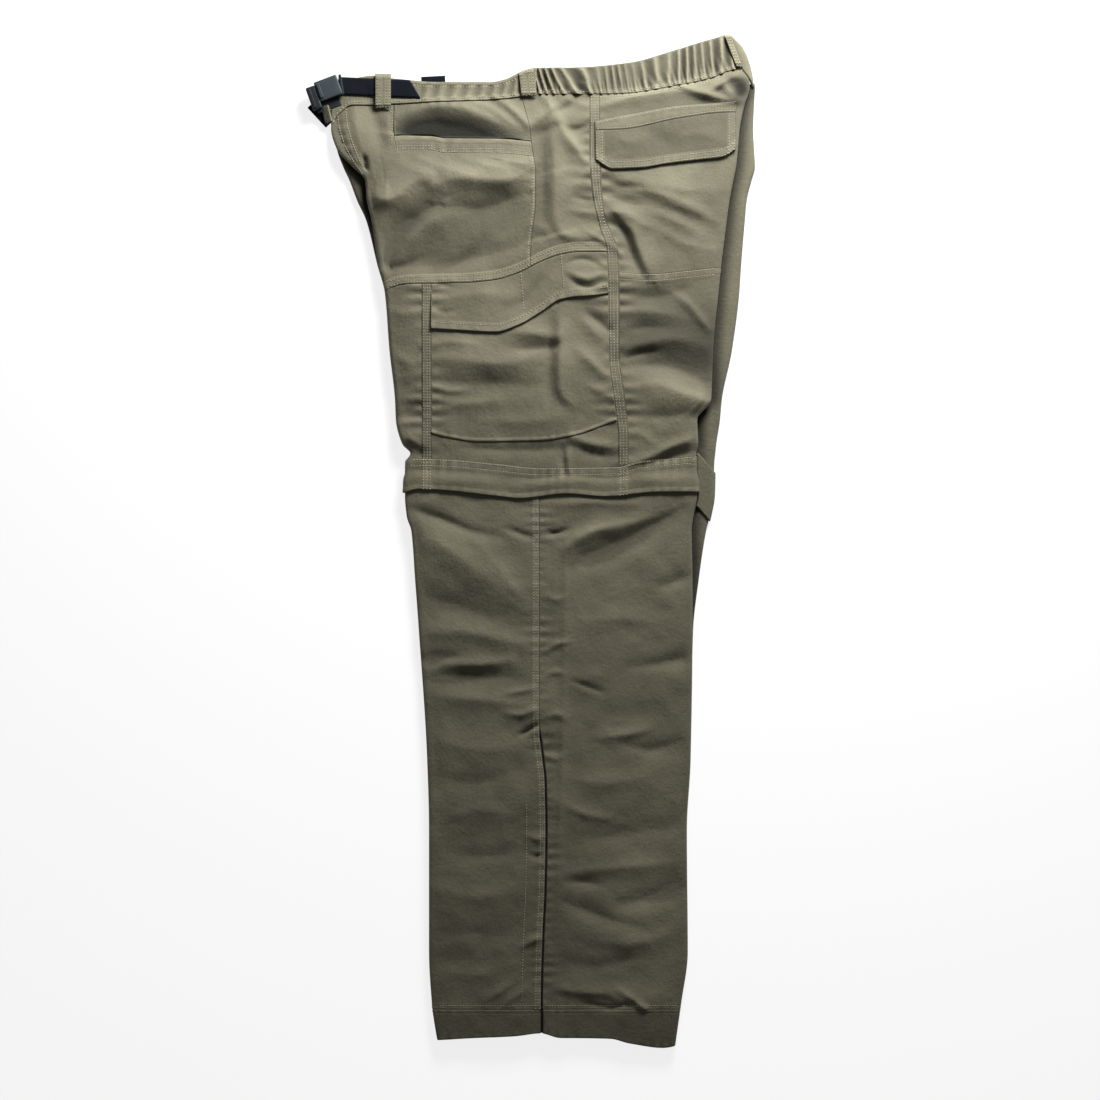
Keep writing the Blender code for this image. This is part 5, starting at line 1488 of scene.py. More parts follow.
@dataclass
class CargoPocket:
    """The bellows pocket with its flap, and the cloth below it."""

    form: LegForm
    left: float = -109.5
    overlap: float = 13.0
    flap_wall: float = 1.7
    seam_gap: float = 0.4
    bellows: float = 0.7
    bellows_start: float = 1.0
    bellows_ramp: float = 3.0
    flap_lift: float = 2.5
    flap_start: float = 1.0
    flap_ramp: float = 36.0
    flap_rows: tuple[tuple[tuple[float, float], ...], ...] = (
        ((-12.4, 287.0), (-9.2, 247.0)), ((30.8, 307.0), (34.0, 270.0)))

    def panels(self) -> dict[str, Panel]:
        """Returns the panels by node name."""
        form, half = self.form, 0.5 * self.form.seam_gap
        left, right = steady(self.left + half), moved(side_seam, -half)
        mouth = moved(flap_edge, self.overlap)
        return {
            "cargo_pocket": Panel(
                "cargo_pocket_cloth", form, left, right, moved(cargo_base, half), mouth,
                {Side.BOTTOM: Edge(ridge=0.4, width=3.0, rows=(), lip=0.8, pucker=0.3),
                 Side.LEFT: BESIDE_STRIP, Side.RIGHT: BESIDE_STRIP},
                lift=lambda x, y: self.bellows * smooth_step(
                    (y - cargo_base(x) + self.bellows_start) / self.bellows_ramp)),
            "thigh_side_panel": Panel(
                "thigh_side_panel_cloth", form, left, right, moved(knee_seam, half),
                moved(cargo_base, -half),
                {Side.BOTTOM: FLUSH, Side.LEFT: BESIDE_STRIP, Side.RIGHT: BESIDE_STRIP}),
            "cargo_flap": Panel(
                "cargo_flap_cloth", form, left, right, flap_edge,
                moved(cargo_seam, -self.seam_gap),
                {Side.BOTTOM: Edge(ridge=0.3, width=8.4, rows=(7.4,), lip=1.3, pucker=0.3),
                 Side.LEFT: BESIDE_STRIP, Side.RIGHT: BESIDE_STRIP},
                wall=self.flap_wall,
                lift=lambda x, y: self.flap_lift * smooth_step(
                    (cargo_seam(x) - self.flap_start - y) / self.flap_ramp)),
        }

    def make(self, wardrobe: Wardrobe) -> None:
        """Builds and dresses the pocket."""
        panels = self.panels()
        flap = panels["cargo_flap"]
        pitch = Stitching().pitch
        bars = [(flap, along(path, pitch)) for path in self.flap_rows]
        wardrobe.panels(panels, "cargo_stitching", bars)


@dataclass
class BackPocket:
    """The back pocket: a stitched strip over its mouth and a flap with a second row inside."""

    form: LegForm
    fell: float = 1.9
    start: float = -5.0
    end: float = 219.5
    flap_wall: float = 1.7
    # Painted shade that darkens the pocket flap as a whole
    flap_shade: Crease = Crease(((62, 422, -0.45), (130, 430, -0.75), (212, 440, -0.6)), 42, 42,
                                power=3.0)

    def make(self, wardrobe: Wardrobe) -> None:
        """Builds and dresses the strip and the flap."""
        form, half = self.form, 0.5 * self.form.seam_gap
        left, right = moved(side_fell, self.start), steady(self.end)
        lift = self.fell + form.lay_gap
        hemmed = Edge(ridge=0.3, width=8.6, rows=(1.8, 7.6), lip=1.2, pucker=0.18)
        panels = {
            "back_pocket_welt": Panel(
                "back_pocket_welt_cloth", form, left, right, moved(welt_base, half), welt_top,
                {Side.TOP: Edge(ridge=0.3, width=3.0, rows=(2.2,), lip=1.2, pucker=0.16),
                 Side.BOTTOM: Edge(width=3.0, rows=(2.0,), lip=1.0)},
                lift=lambda x, y: lift),
            "back_pocket_flap": Panel(
                "back_pocket_flap_cloth", form, left, right, back_flap_edge, moved(welt_base, -half),
                {Side.BOTTOM: hemmed, Side.LEFT: hemmed, Side.RIGHT: hemmed},
                wall=self.flap_wall, lift=lambda x, y: lift, shades=(self.flap_shade,)),
        }
        wardrobe.panels(panels, "back_pocket_stitching")


@dataclass
class LowerLeg:
    """The lower leg that zips off at the knee, with the band over that zip and the ankle zip."""

    form: LegForm
    leg_end: float = -507.0
    overlap: float = 12.0
    flap_wall: float = 1.7
    band_turn: float = 0.55
    zip_top: float = -204.0
    zip_end: float = -531.0
    zip_ease: float = 2.0
    zip_turn: float = 10.0
    zip_hidden: float = 4.0
    zip_width: float = 1.6
    zip_room: float = 0.25
    tooth_pitch: float = 1.5
    front_strip: float = -114.2
    side_strip: float = 98.0
    facing_start: float = -497.0
    facing_end: float = -286.0
    facing_width: float = 21.5

    def seam_side(self, sign: float) -> Line:
        """Returns one side of the outer seam, which opens for the ankle zip."""
        half = 0.5 * self.form.seam_gap
        wide = 0.5 * self.zip_width + self.zip_room

        def line(y: Array) -> Array:
            """Returns the place along X."""
            opened = smooth_step((self.zip_top + self.zip_ease - y) / self.zip_turn)
            return outer_seam(y) + sign * (half + (wide - half) * opened)

        return line

    def panels(self) -> dict[str, Panel]:
        """Returns the panels by node name."""
        form, half = self.form, 0.5 * self.form.seam_gap
        leg_top = moved(knee_edge, self.overlap)
        hem_row = Edge(ridge=0.12, width=5.0, rows=(4.2,), pucker=0.22)
        return {
            "knee_band": Panel(
                "knee_band_cloth", form, None, None, knee_edge, moved(knee_seam, -half),
                {Side.TOP: Edge(ridge=0.2, width=9.0, rows=(1.0, 7.2), lip=0.0, pucker=0.4,
                                pucker_reach=12.0),
                 Side.BOTTOM: Edge(ridge=0.3, width=4.0, rows=(), lip=1.4, pucker=0.25)},
                wall=self.flap_wall, lift=lift_over(form, leg_top), turned=self.band_turn,
                strips=(steady(self.front_strip), steady(self.side_strip)), fine=0.8),
            "shin_front_panel": Panel(
                "shin_front_panel_cloth", form, None, self.seam_side(-1.0),
                steady(self.leg_end), leg_top,
                {Side.RIGHT: Edge(ridge=0.4, width=6.5, rows=(1.4, 5.6), pucker=0.45,
                                  pucker_reach=13.0),
                 Side.BOTTOM: hem_row}),
            "shin_back_panel": Panel(
                "shin_back_panel_cloth", form, self.seam_side(1.0), None,
                steady(self.leg_end), leg_top,
                {Side.LEFT: Edge(lip=0.3, pucker=0.5, pucker_reach=14.0), Side.BOTTOM: hem_row},
                # A painted highlight that lightens the lower back of the shin
                shades=(Crease(((118, -280, 0.3), (128, -400, 0.7), (126, -480, 0.5)), 42, 42,
                               power=2.2),)),
        }

    def zip_panel(self) -> Panel:
        """Returns the zip's tape."""
        return Panel("ankle_zip_tape", self.form, moved(outer_seam, -0.5 * self.zip_width),
                     moved(outer_seam, 0.5 * self.zip_width), steady(self.zip_end),
                     steady(self.zip_top - self.zip_hidden),
                     dict.fromkeys(Side, FLUSH), wall=0.6)

    def teeth(self, tape: Panel) -> bpy.types.Object:
        """Returns the zip's teeth as one mesh of small bars across the tape."""
        y = np.arange(self.zip_end + 2.0, self.zip_top - self.zip_hidden - 1.0, self.tooth_pitch)
        bars = Stitching(length=1.3, width=0.8, height=0.35)
        rows = []
        for place in y:
            middle = float(outer_seam(place))
            rows.append((tape, np.array([(middle - 0.02, place), (middle + 0.02, place)])))
        return bars.sew("ankle_zip_teeth", rows)

    def make(self, wardrobe: Wardrobe) -> None:
        """Builds and dresses the lower leg."""
        panels = self.panels()
        for node, panel in panels.items():
            wardrobe.panel(panel, node)
        tape = self.zip_panel()
        wardrobe.dress(tape.build(), wardrobe.tape, Slot.ZIP, "ankle_zip")
        wardrobe.dress(self.teeth(tape), wardrobe.dark, Slot.ZIP)
        front = panels["shin_front_panel"]
        pitch = Stitching().pitch
        y = np.arange(self.facing_start, self.facing_end, pitch)
        facing = [(front, np.stack((outer_seam(y) - self.facing_width, y), axis=-1))]
        wardrobe.sewn("lower_leg_stitching", list(panels.values()), facing)


@dataclass
class Hems:
    """The turned hems of both legs."""

    form: LegForm
    leg_end: float = -507.0
    zip_gap: float = 1.3
    step: float = 2.2
    inset: float = 1.5
    under_roll: float = 5.0
    rolls: int = 10
    # How much darker the whole left hem is painted: painted shade
    faded: float = 0.35
    half_height: float = 15.0
    flat_steps: int = 64
    under_steps: int = 40
    under_rows: int = 14
    corners: tuple[float, float] = (-110.0, 150.0)
    far: float = 99.0

    def left(self) -> tuple[Array, Array]:
        """Works out the top leg's hem: from the zip round the back edge and back to the zip.

        Returns:
            The points by row and column, and the wear and painted shade of each.
        """
        form = self.form
        edge = Edge(ridge=0.12, width=5.0, rows=(4.0,), pucker=0.22)
        lower = Edge(ridge=0.0, width=4.0, rows=(), lip=0.6, pucker=0.25)
        up = Spread.between(2.0 * self.half_height, lower.zone, edge.zone, self.step, 0.8)
        flat = np.linspace(0.0, 1.0, self.flat_steps)
        turns = np.arange(1, self.rolls + 1) / self.rolls
        pieces = [(Kind.FLAT, flat, 0), (Kind.BACK_ROLL, turns, 1), (Kind.BELOW, flat[1:-1], 2),
                  (Kind.FRONT_ROLL, turns[::-1], 3), (Kind.FLAT, flat, 4)]
        kind = np.concatenate([np.full(len(part), name.value) for name, part, _ in pieces])
        share = np.concatenate([part for _, part, _ in pieces])
        stretch = np.concatenate([np.full(len(part), number) for _, part, number in pieces])
        shape = (len(up.share), len(kind))
        kind, share = np.broadcast_to(kind, shape), np.broadcast_to(share, shape)
        y = np.full(shape, self.leg_end - self.half_height)
        for _ in range(LAYOUTS):
            front, back = form.front_start(y), form.back_start(y)
            right_lip, left_lip = outer_seam(y) + self.zip_gap, outer_seam(y) - self.zip_gap
            spans = [right_lip + share * (back - right_lip), back, back + share * (front - back),
                     front, front + share * (left_lip - front)]
            flat_x = np.choose(np.broadcast_to(stretch, shape), spans)
            rolled = np.abs(kind) == 1
            reach = np.where(rolled, kind * (form.roll + form.cloth) * np.sin(np.pi * share), 0.0)
            x = flat_x + reach
            top = self.leg_end - form.seam_gap
            y = hem_edge(x) + up.share[:, None] * (top - hem_edge(x)) + up.offset[:, None]
        relief = edge.relief(self.leg_end - y, x) + lower.relief(y - hem_edge(x), x)
        beside = np.where(kind == 0, np.abs(x - outer_seam(y)) - self.zip_gap, self.far)
        relief = relief + JOINED.relief(beside, y)
        relief = np.where(kind == Kind.BELOW.value, np.minimum(relief, 0.0), relief)
        value = np.where(rolled, share, flat_x)
        # The left hem's colour takes the sewn relief's wear and shade, less the painted hem shade
        return form.point(kind, value, y, form.cloth + relief), RELIEF_WEAR_AND_SHADE * relief - self.faded

    def right(self) -> tuple[Array, Array]:
        """Works out the lower leg's hem: a closed flat ring on the floor.

        Returns:
            The points by row and column, and the wear and shade of each, which is nil here.
        """
        flat = np.linspace(0.0, 1.0, self.under_steps + 1)
        turns = np.linspace(0.0, 1.0, self.rolls + 1)[1:-1]
        stretch = np.concatenate((np.zeros(len(flat)), np.ones(len(turns)), np.full(len(flat), 2),
                                  np.full(len(turns), 3), np.zeros(1))).astype(int)
        share = np.concatenate((1.0 - flat, turns, flat, 1.0 - turns, np.ones(1)))
        up = np.linspace(0.0, 1.0, self.under_rows)
        shape = (len(up), len(share))
        share, stretch = np.broadcast_to(share, shape), np.broadcast_to(stretch, shape)
        y = np.full(shape, self.leg_end - self.half_height)
        for _ in range(LAYOUTS):
            low_x = under_left_edge(y) + self.under_roll
            high_x = under_right_edge(y) - self.under_roll
            turn = np.pi * share
            spans = [low_x + share * (high_x - low_x), low_x - self.under_roll * np.sin(turn),
                     low_x + share * (high_x - low_x), high_x + self.under_roll * np.sin(turn)]
            x = np.choose(stretch, spans)
            bottom = hem_edge(np.clip(x, *self.corners)) + self.inset
            top = self.leg_end - self.form.seam_gap
            y = bottom + up[:, None] * (top - bottom)
        high = self.form.split(np.zeros(shape), y)
        rolled = 0.5 * high - 0.5 * high * np.cos(np.pi * share)
        z = np.choose(stretch, [np.zeros(shape), rolled, high, rolled])
        return np.stack((x, y, z), axis=-1), np.zeros(shape)

    def make(self, wardrobe: Wardrobe) -> None:
        """Builds and dresses both hems."""
        points, wear = self.left()
        wardrobe.cloth_piece("left_hem_cloth", points, wear, self.form.cloth, "left_hem")
        points, wear = self.right()
        wardrobe.cloth_piece("right_hem_cloth", points, wear, self.form.cloth, "right_hem",
                             wrap=True)


@dataclass
class Waist:
    """The waistband: plain in front, gathered on elastic behind, with its right half below."""

    form: LegForm
    band: float = 2.4
    centre_front: float = -218.0
    centre_back: float = 225.5
    elastic_start: float = 4.5
    ruffles: int = 22
    ruffle_height: float = 3.6
    gather_height: float = 1.1
    gather_pitch: float = 12.5
    gather_start: float = -128.0
    corner_start: float = -178.0
    corner_rise: float = 0.3
    back_low: float = 509.0
    back_drop: float = 18.0
    back_high: float = 547.0
    floor_end: float = -215.5
    floor_low: float = 474.0
    floor_slant: float = 0.085
    floor_columns: int = 120
    back_line: Line = slanting(227.0, 510.0, -0.385)
    outer_line: Line = field(default_factory=lambda: SmoothLine((
        (494, 239.5), (505, 238), (520, 234), (535, 227), (545, 217), (549, 213.5))))

    def ruffle(self, x: Array, y: Array) -> Array:
        """Returns the elastic's gathers."""
        part = (x - self.elastic_start) / (self.centre_back - self.elastic_start)
        up = (y - waist_seam(x)) / (waist_top(x) - waist_seam(x))
        drift = 0.5 * np.sin(5.3 * part * math.pi) + 0.3 * np.sin(13.0 * part)
        lean = (1.3 * np.maximum(0.0, 1.0 - part) ** 1.5 + 0.25 * np.sin(17.0 * part)) * (up - 0.5)
        size = 0.75 + 0.25 * np.sin(9.0 * part + 1.0) + 0.25 * np.sin(37.0 * part)
        swing = self.ruffles * part + drift + lean
        skewed = swing + 0.12 * np.sin(2.0 * math.pi * swing)
        puff = np.abs(np.cos(math.pi * skewed)) ** 1.4
        fork = np.cos(2.0 * math.pi * (2.0 * self.ruffles * part + 1.6 * up + 3.0 * drift))
        low = smooth_step((0.6 - up) / 0.5)
        ends = smooth_step((1.1 - up) / 0.25) * (0.75 + 0.35 * np.sin(math.pi * up))
        return self.ruffle_height * (size * (puff - 0.5) + 0.3 * fork * low) * ends

    def gathers(self, x: Array, y: Array) -> Array:
        """Returns the small gathers of the front waistband below its tunnel."""
        up = (y - waist_seam(x)) / (waist_top(x) - waist_seam(x))
        within = smooth_step(up / 0.2) * smooth_step((0.85 - up) / 0.15)
        wave = np.cos(FULL_TURN * (x / self.gather_pitch + 0.5 * np.sin(x / 29.0) - 0.5 * up))
        return self.gather_height * wave * within * smooth_step((x - self.gather_start) / 10.0)

    def band_base(self, x: Array) -> Array:
        """Returns the front waistband's lower edge."""
        corner = smooth_step((self.corner_start - x) / 18.0)
        return waist_seam(x) + 0.1 + self.corner_rise * corner

    def right_half(self) -> tuple[Array, Array]:
        """Works out the right half: round the centre back and along the floor.

        Returns:
            The points by row and column, and the wear and shade of each.
        """
        form = self.form
        turns = np.linspace(0.0, 1.0, 17)
        share = np.linspace(0.0, 1.0, 15)[:, None]
        turn = math.pi * turns[None, :]
        low = self.back_low - self.back_drop * np.sin(turn)
        high = self.back_high - np.sin(turn)
        y = low + (high - low) * share
        start = self.back_line(y) + form.seam_gap
        top = form.height(start, y)
        reach = np.maximum(0.2, self.outer_line(y) - start)
        x = start + reach * np.sin(turn)
        z = 0.5 * (top + self.band) + (0.5 * (top - self.band) + self.band) * np.cos(turn)
        around = np.stack((x, y, z), axis=-1)
        way = np.linspace(0.0, 1.0, self.floor_columns)[None, 1:]
        x = x[:, -1:] + way * (self.floor_end - x[:, -1:])
        inward = smooth_step((self.centre_back - x) / 20.0)
        floor_low = self.floor_low + self.floor_slant * x + form.seam_gap
        y = floor_low + (waist_top(x) - 1.5 * inward - floor_low) * share
        along = np.stack((x, y, np.zeros(y.shape)), axis=-1)
        points = np.concatenate((around, along), axis=1)
        wear = np.zeros(points.shape[:2])
        # The turned part is darker where it leaves the top and where it meets the floor, and lighter along
        # its outer edge
        wear[:, :turns.size] = -0.5 + 0.9 * np.sin(turn)
        return points, wear

    def make(self, wardrobe: Wardrobe) -> None:
        """Builds and dresses the waistband."""
        form, half = self.form, 0.5 * self.form.seam_gap
        tunnel = Edge(ridge=0.3, width=5.0, rows=(4.6,), lip=1.0, pucker=0.14, groove=0.7)
        # The front gathers and the back ruffles are painted darker in their valleys and lighter on their
        # crests: painted shade and painted highlight
        front = Panel("waistband_front_cloth", form, steady(self.centre_front),
                      steady(self.elastic_start - half), self.band_base, waist_top,
                      {Side.BOTTOM: SINGLE, Side.TOP: tunnel, Side.LEFT: Edge(lip=1.4)},
                      wall=self.band, lift=self.gathers, coarse=1.6, lift_wear=0.4)
        back = Panel("waistband_elastic_cloth", form, steady(self.elastic_start + half),
                     self.back_line, moved(waist_seam, half), waist_top,
                     {Side.BOTTOM: SINGLE, Side.TOP: Edge(lip=1.2), Side.RIGHT: Edge(lip=0.9)},
                     wall=self.band, lift=self.ruffle, coarse=1.3, lift_wear=0.75)
        wardrobe.panels({"waistband_front": front, "waistband_elastic": back}, "waistband_stitching")
        points, wear = self.right_half()
        wardrobe.cloth_piece("waistband_right_cloth", points, wear, self.band, "waistband_right")


@dataclass
class BeltLoops:
    """The belt loops: flat at both ends and arched over the belt."""

    form: LegForm
    band: float = 2.4
    ramp: float = 0.13

    def loop(self, name: str, line: Line, half: float, bottom: Line, top: Line, peak: float) -> Panel:
        """Returns one loop.

        Args:
            name: the piece's name.
            line: the loop's middle, as place along X over the height.
            half: half its width.
            bottom: its lower end.
            top: its upper end.
            peak: how far it arches.

        Returns:
            The panel.
        """
        def lift(x: Array, y: Array) -> Array:
            """Returns the arch at each place."""
            part = (y - bottom(x)) / (top(x) - bottom(x))
            rise = smooth_step(part / self.ramp) * smooth_step((1.0 - part) / self.ramp)
            return self.band + self.form.lay_gap + peak * rise

        sewn = Edge(ridge=0.3, width=6.2, rows=(2.0, 5.4) if half > 5.0 else (2.0,), lip=0.8,
                    pucker=0.05, groove=0.5)
        ends = Edge(ridge=0.5, width=3.0, rows=(2.0,), lip=0.9, pucker=0.0)
        return Panel(name, self.form, moved(line, -half), moved(line, half), bottom, top,
                     {Side.LEFT: sewn, Side.RIGHT: sewn, Side.BOTTOM: ends, Side.TOP: ends},
                     lift=lift, coarse=1.2, fine=0.6)

    def make(self, wardrobe: Wardrobe) -> None:
        """Builds and dresses the three loops."""
        loop_top = moved(waist_top, -0.5)
        loops = {
            "belt_loop_front": self.loop("belt_loop_front_cloth", steady(-161.5), 8.6,
                                         steady(467.0), steady(504.5), 2.45),
            "belt_loop_side": self.loop("belt_loop_side_cloth", slanting(-5.5, 495.0, -0.12), 8.4,
                                        steady(480.0), loop_top, 1.6),
            "belt_loop_back": self.loop("belt_loop_back_cloth", slanting(216.6, 530.0, -0.385), 3.4,
                                        steady(512.0), loop_top, 1.6),
        }
        wardrobe.panels(loops, "belt_loop_stitching")


@dataclass
class Slab:
    """A bar with rounded edges, set by its size, centre and turns about X, Y and Z in degrees."""

    name: str
    size: tuple[float, float, float]
    corner: float
    place: tuple[float, float, float]
    turns: tuple[float, float, float]
    segments: int = 4

    def build(self) -> bpy.types.Object:
        """Returns the bar as an object."""
        body = bmesh.new()
        bmesh.ops.create_cube(body, size=1.0, matrix=Matrix.Diagonal((*(s * MM for s in self.size), 1.0)))
        bmesh.ops.subdivide_edges(body, edges=body.edges[:], cuts=3, use_grid_fill=True)
        outline = [edge for edge in body.edges if edge.calc_face_angle(0.0) > 0.5]
        bmesh.ops.bevel(body, geom=outline, offset=self.corner * MM, segments=self.segments,
                        profile=0.5, affect="EDGES", clamp_overlap=True)
        mesh = bpy.data.meshes.new(self.name)
        body.to_mesh(mesh)
        body.free()
        mesh.shade_smooth()
        item = linked(self.name, mesh)
        item.location = Vector(self.place) * MM
        item.rotation_euler = [math.radians(turn) for turn in self.turns]
        return item


@dataclass
class Belt:
    """The belt webbing, its buckle and the cloth tab below it."""

    form: LegForm
    band: float = 2.4
    webbing: float = 1.8
    half: float = 9.5
    start: float = -210.0
    end: float = -122.0

    def make(self, wardrobe: Wardrobe) -> None:
        """Builds and dresses the belt."""
        middle = slanting(491.5, -205.0, -0.045)
        strap = Panel("belt_webbing_strap", self.form, steady(self.start),
                      slanting(self.end - 4.0, 486.5, -0.6),
                      moved(middle, -self.half), moved(middle, self.half),
                      {side: Edge(lip=0.8, lip_reach=1.6, pucker=0.0) for side in Side},
                      wall=self.webbing, lift=lambda x, y: self.band + self.form.lay_gap,
                      coarse=1.2)
        item = strap.build()
        wardrobe.dress(item, wardrobe.webbing, Slot.WEBBING, "belt_webbing")
        slabs = (
            (Slab("belt_webbing_lower_strap", (29.0, 17.0, 1.8), 0.7, (-227.6, 463.6, 3.8),
                  (0.0, 8.0, -47.0)), wardrobe.webbing, Slot.WEBBING, "belt_webbing_lower"),
            (Slab("belt_tail_strap", (26.0, 9.0, 1.6), 0.7, (-107.5, 498.2, 3.9),
                  (0.0, 0.0, 3.0)), wardrobe.webbing, Slot.WEBBING, "belt_tail"),
            (Slab("waist_tab_cloth", (8.5, 18.0, 3.0), 1.4, (-222.2, 461.0, 8.5),
                  (0.0, -30.0, 14.0)), wardrobe.cloth, Slot.CLOTH, "waist_tab"),
            (Slab("buckle_plate_shell", (26.0, 22.0, 5.0), 1.8, (-220.6, 488.2, 12.8),
                  (0.0, -4.0, 20.0)), wardrobe.slate, Slot.BUCKLE, "buckle_plate"),
            (Slab("buckle_frame_shell", (10.5, 26.0, 6.0), 2.0, (-236.0, 477.6, 11.4),
                  (0.0, 0.0, 20.0)), wardrobe.dark, Slot.BUCKLE, "buckle_frame"),
        )
        for slab, finish, slot, node in slabs:
            wardrobe.dress(slab.build(), finish, slot, node)
        details = (
            (Slab("buckle_underside", (27.0, 25.0, 2.6), 1.0, (-223.4, 478.0, 7.6),
                  (0.0, 0.0, 20.0)), wardrobe.dark),
            (Slab("buckle_clip_bar", (3.0, 22.5, 3.4), 1.2, (-206.4, 492.0, 12.6),
                  (0.0, 0.0, 10.0)), wardrobe.dark),
            (Slab("buckle_plate_rib", (3.4, 16.0, 1.6), 0.7, (-229.4, 485.2, 15.8),
                  (0.0, -4.0, 20.0)), wardrobe.slate),
            (Slab("buckle_frame_lip", (3.4, 21.0, 1.6), 0.7, (-238.0, 476.8, 14.6),
                  (0.0, 0.0, 20.0)), wardrobe.dark),
        )
        for slab, finish in details:
            wardrobe.dress(slab.build(), finish, Slot.BUCKLE)


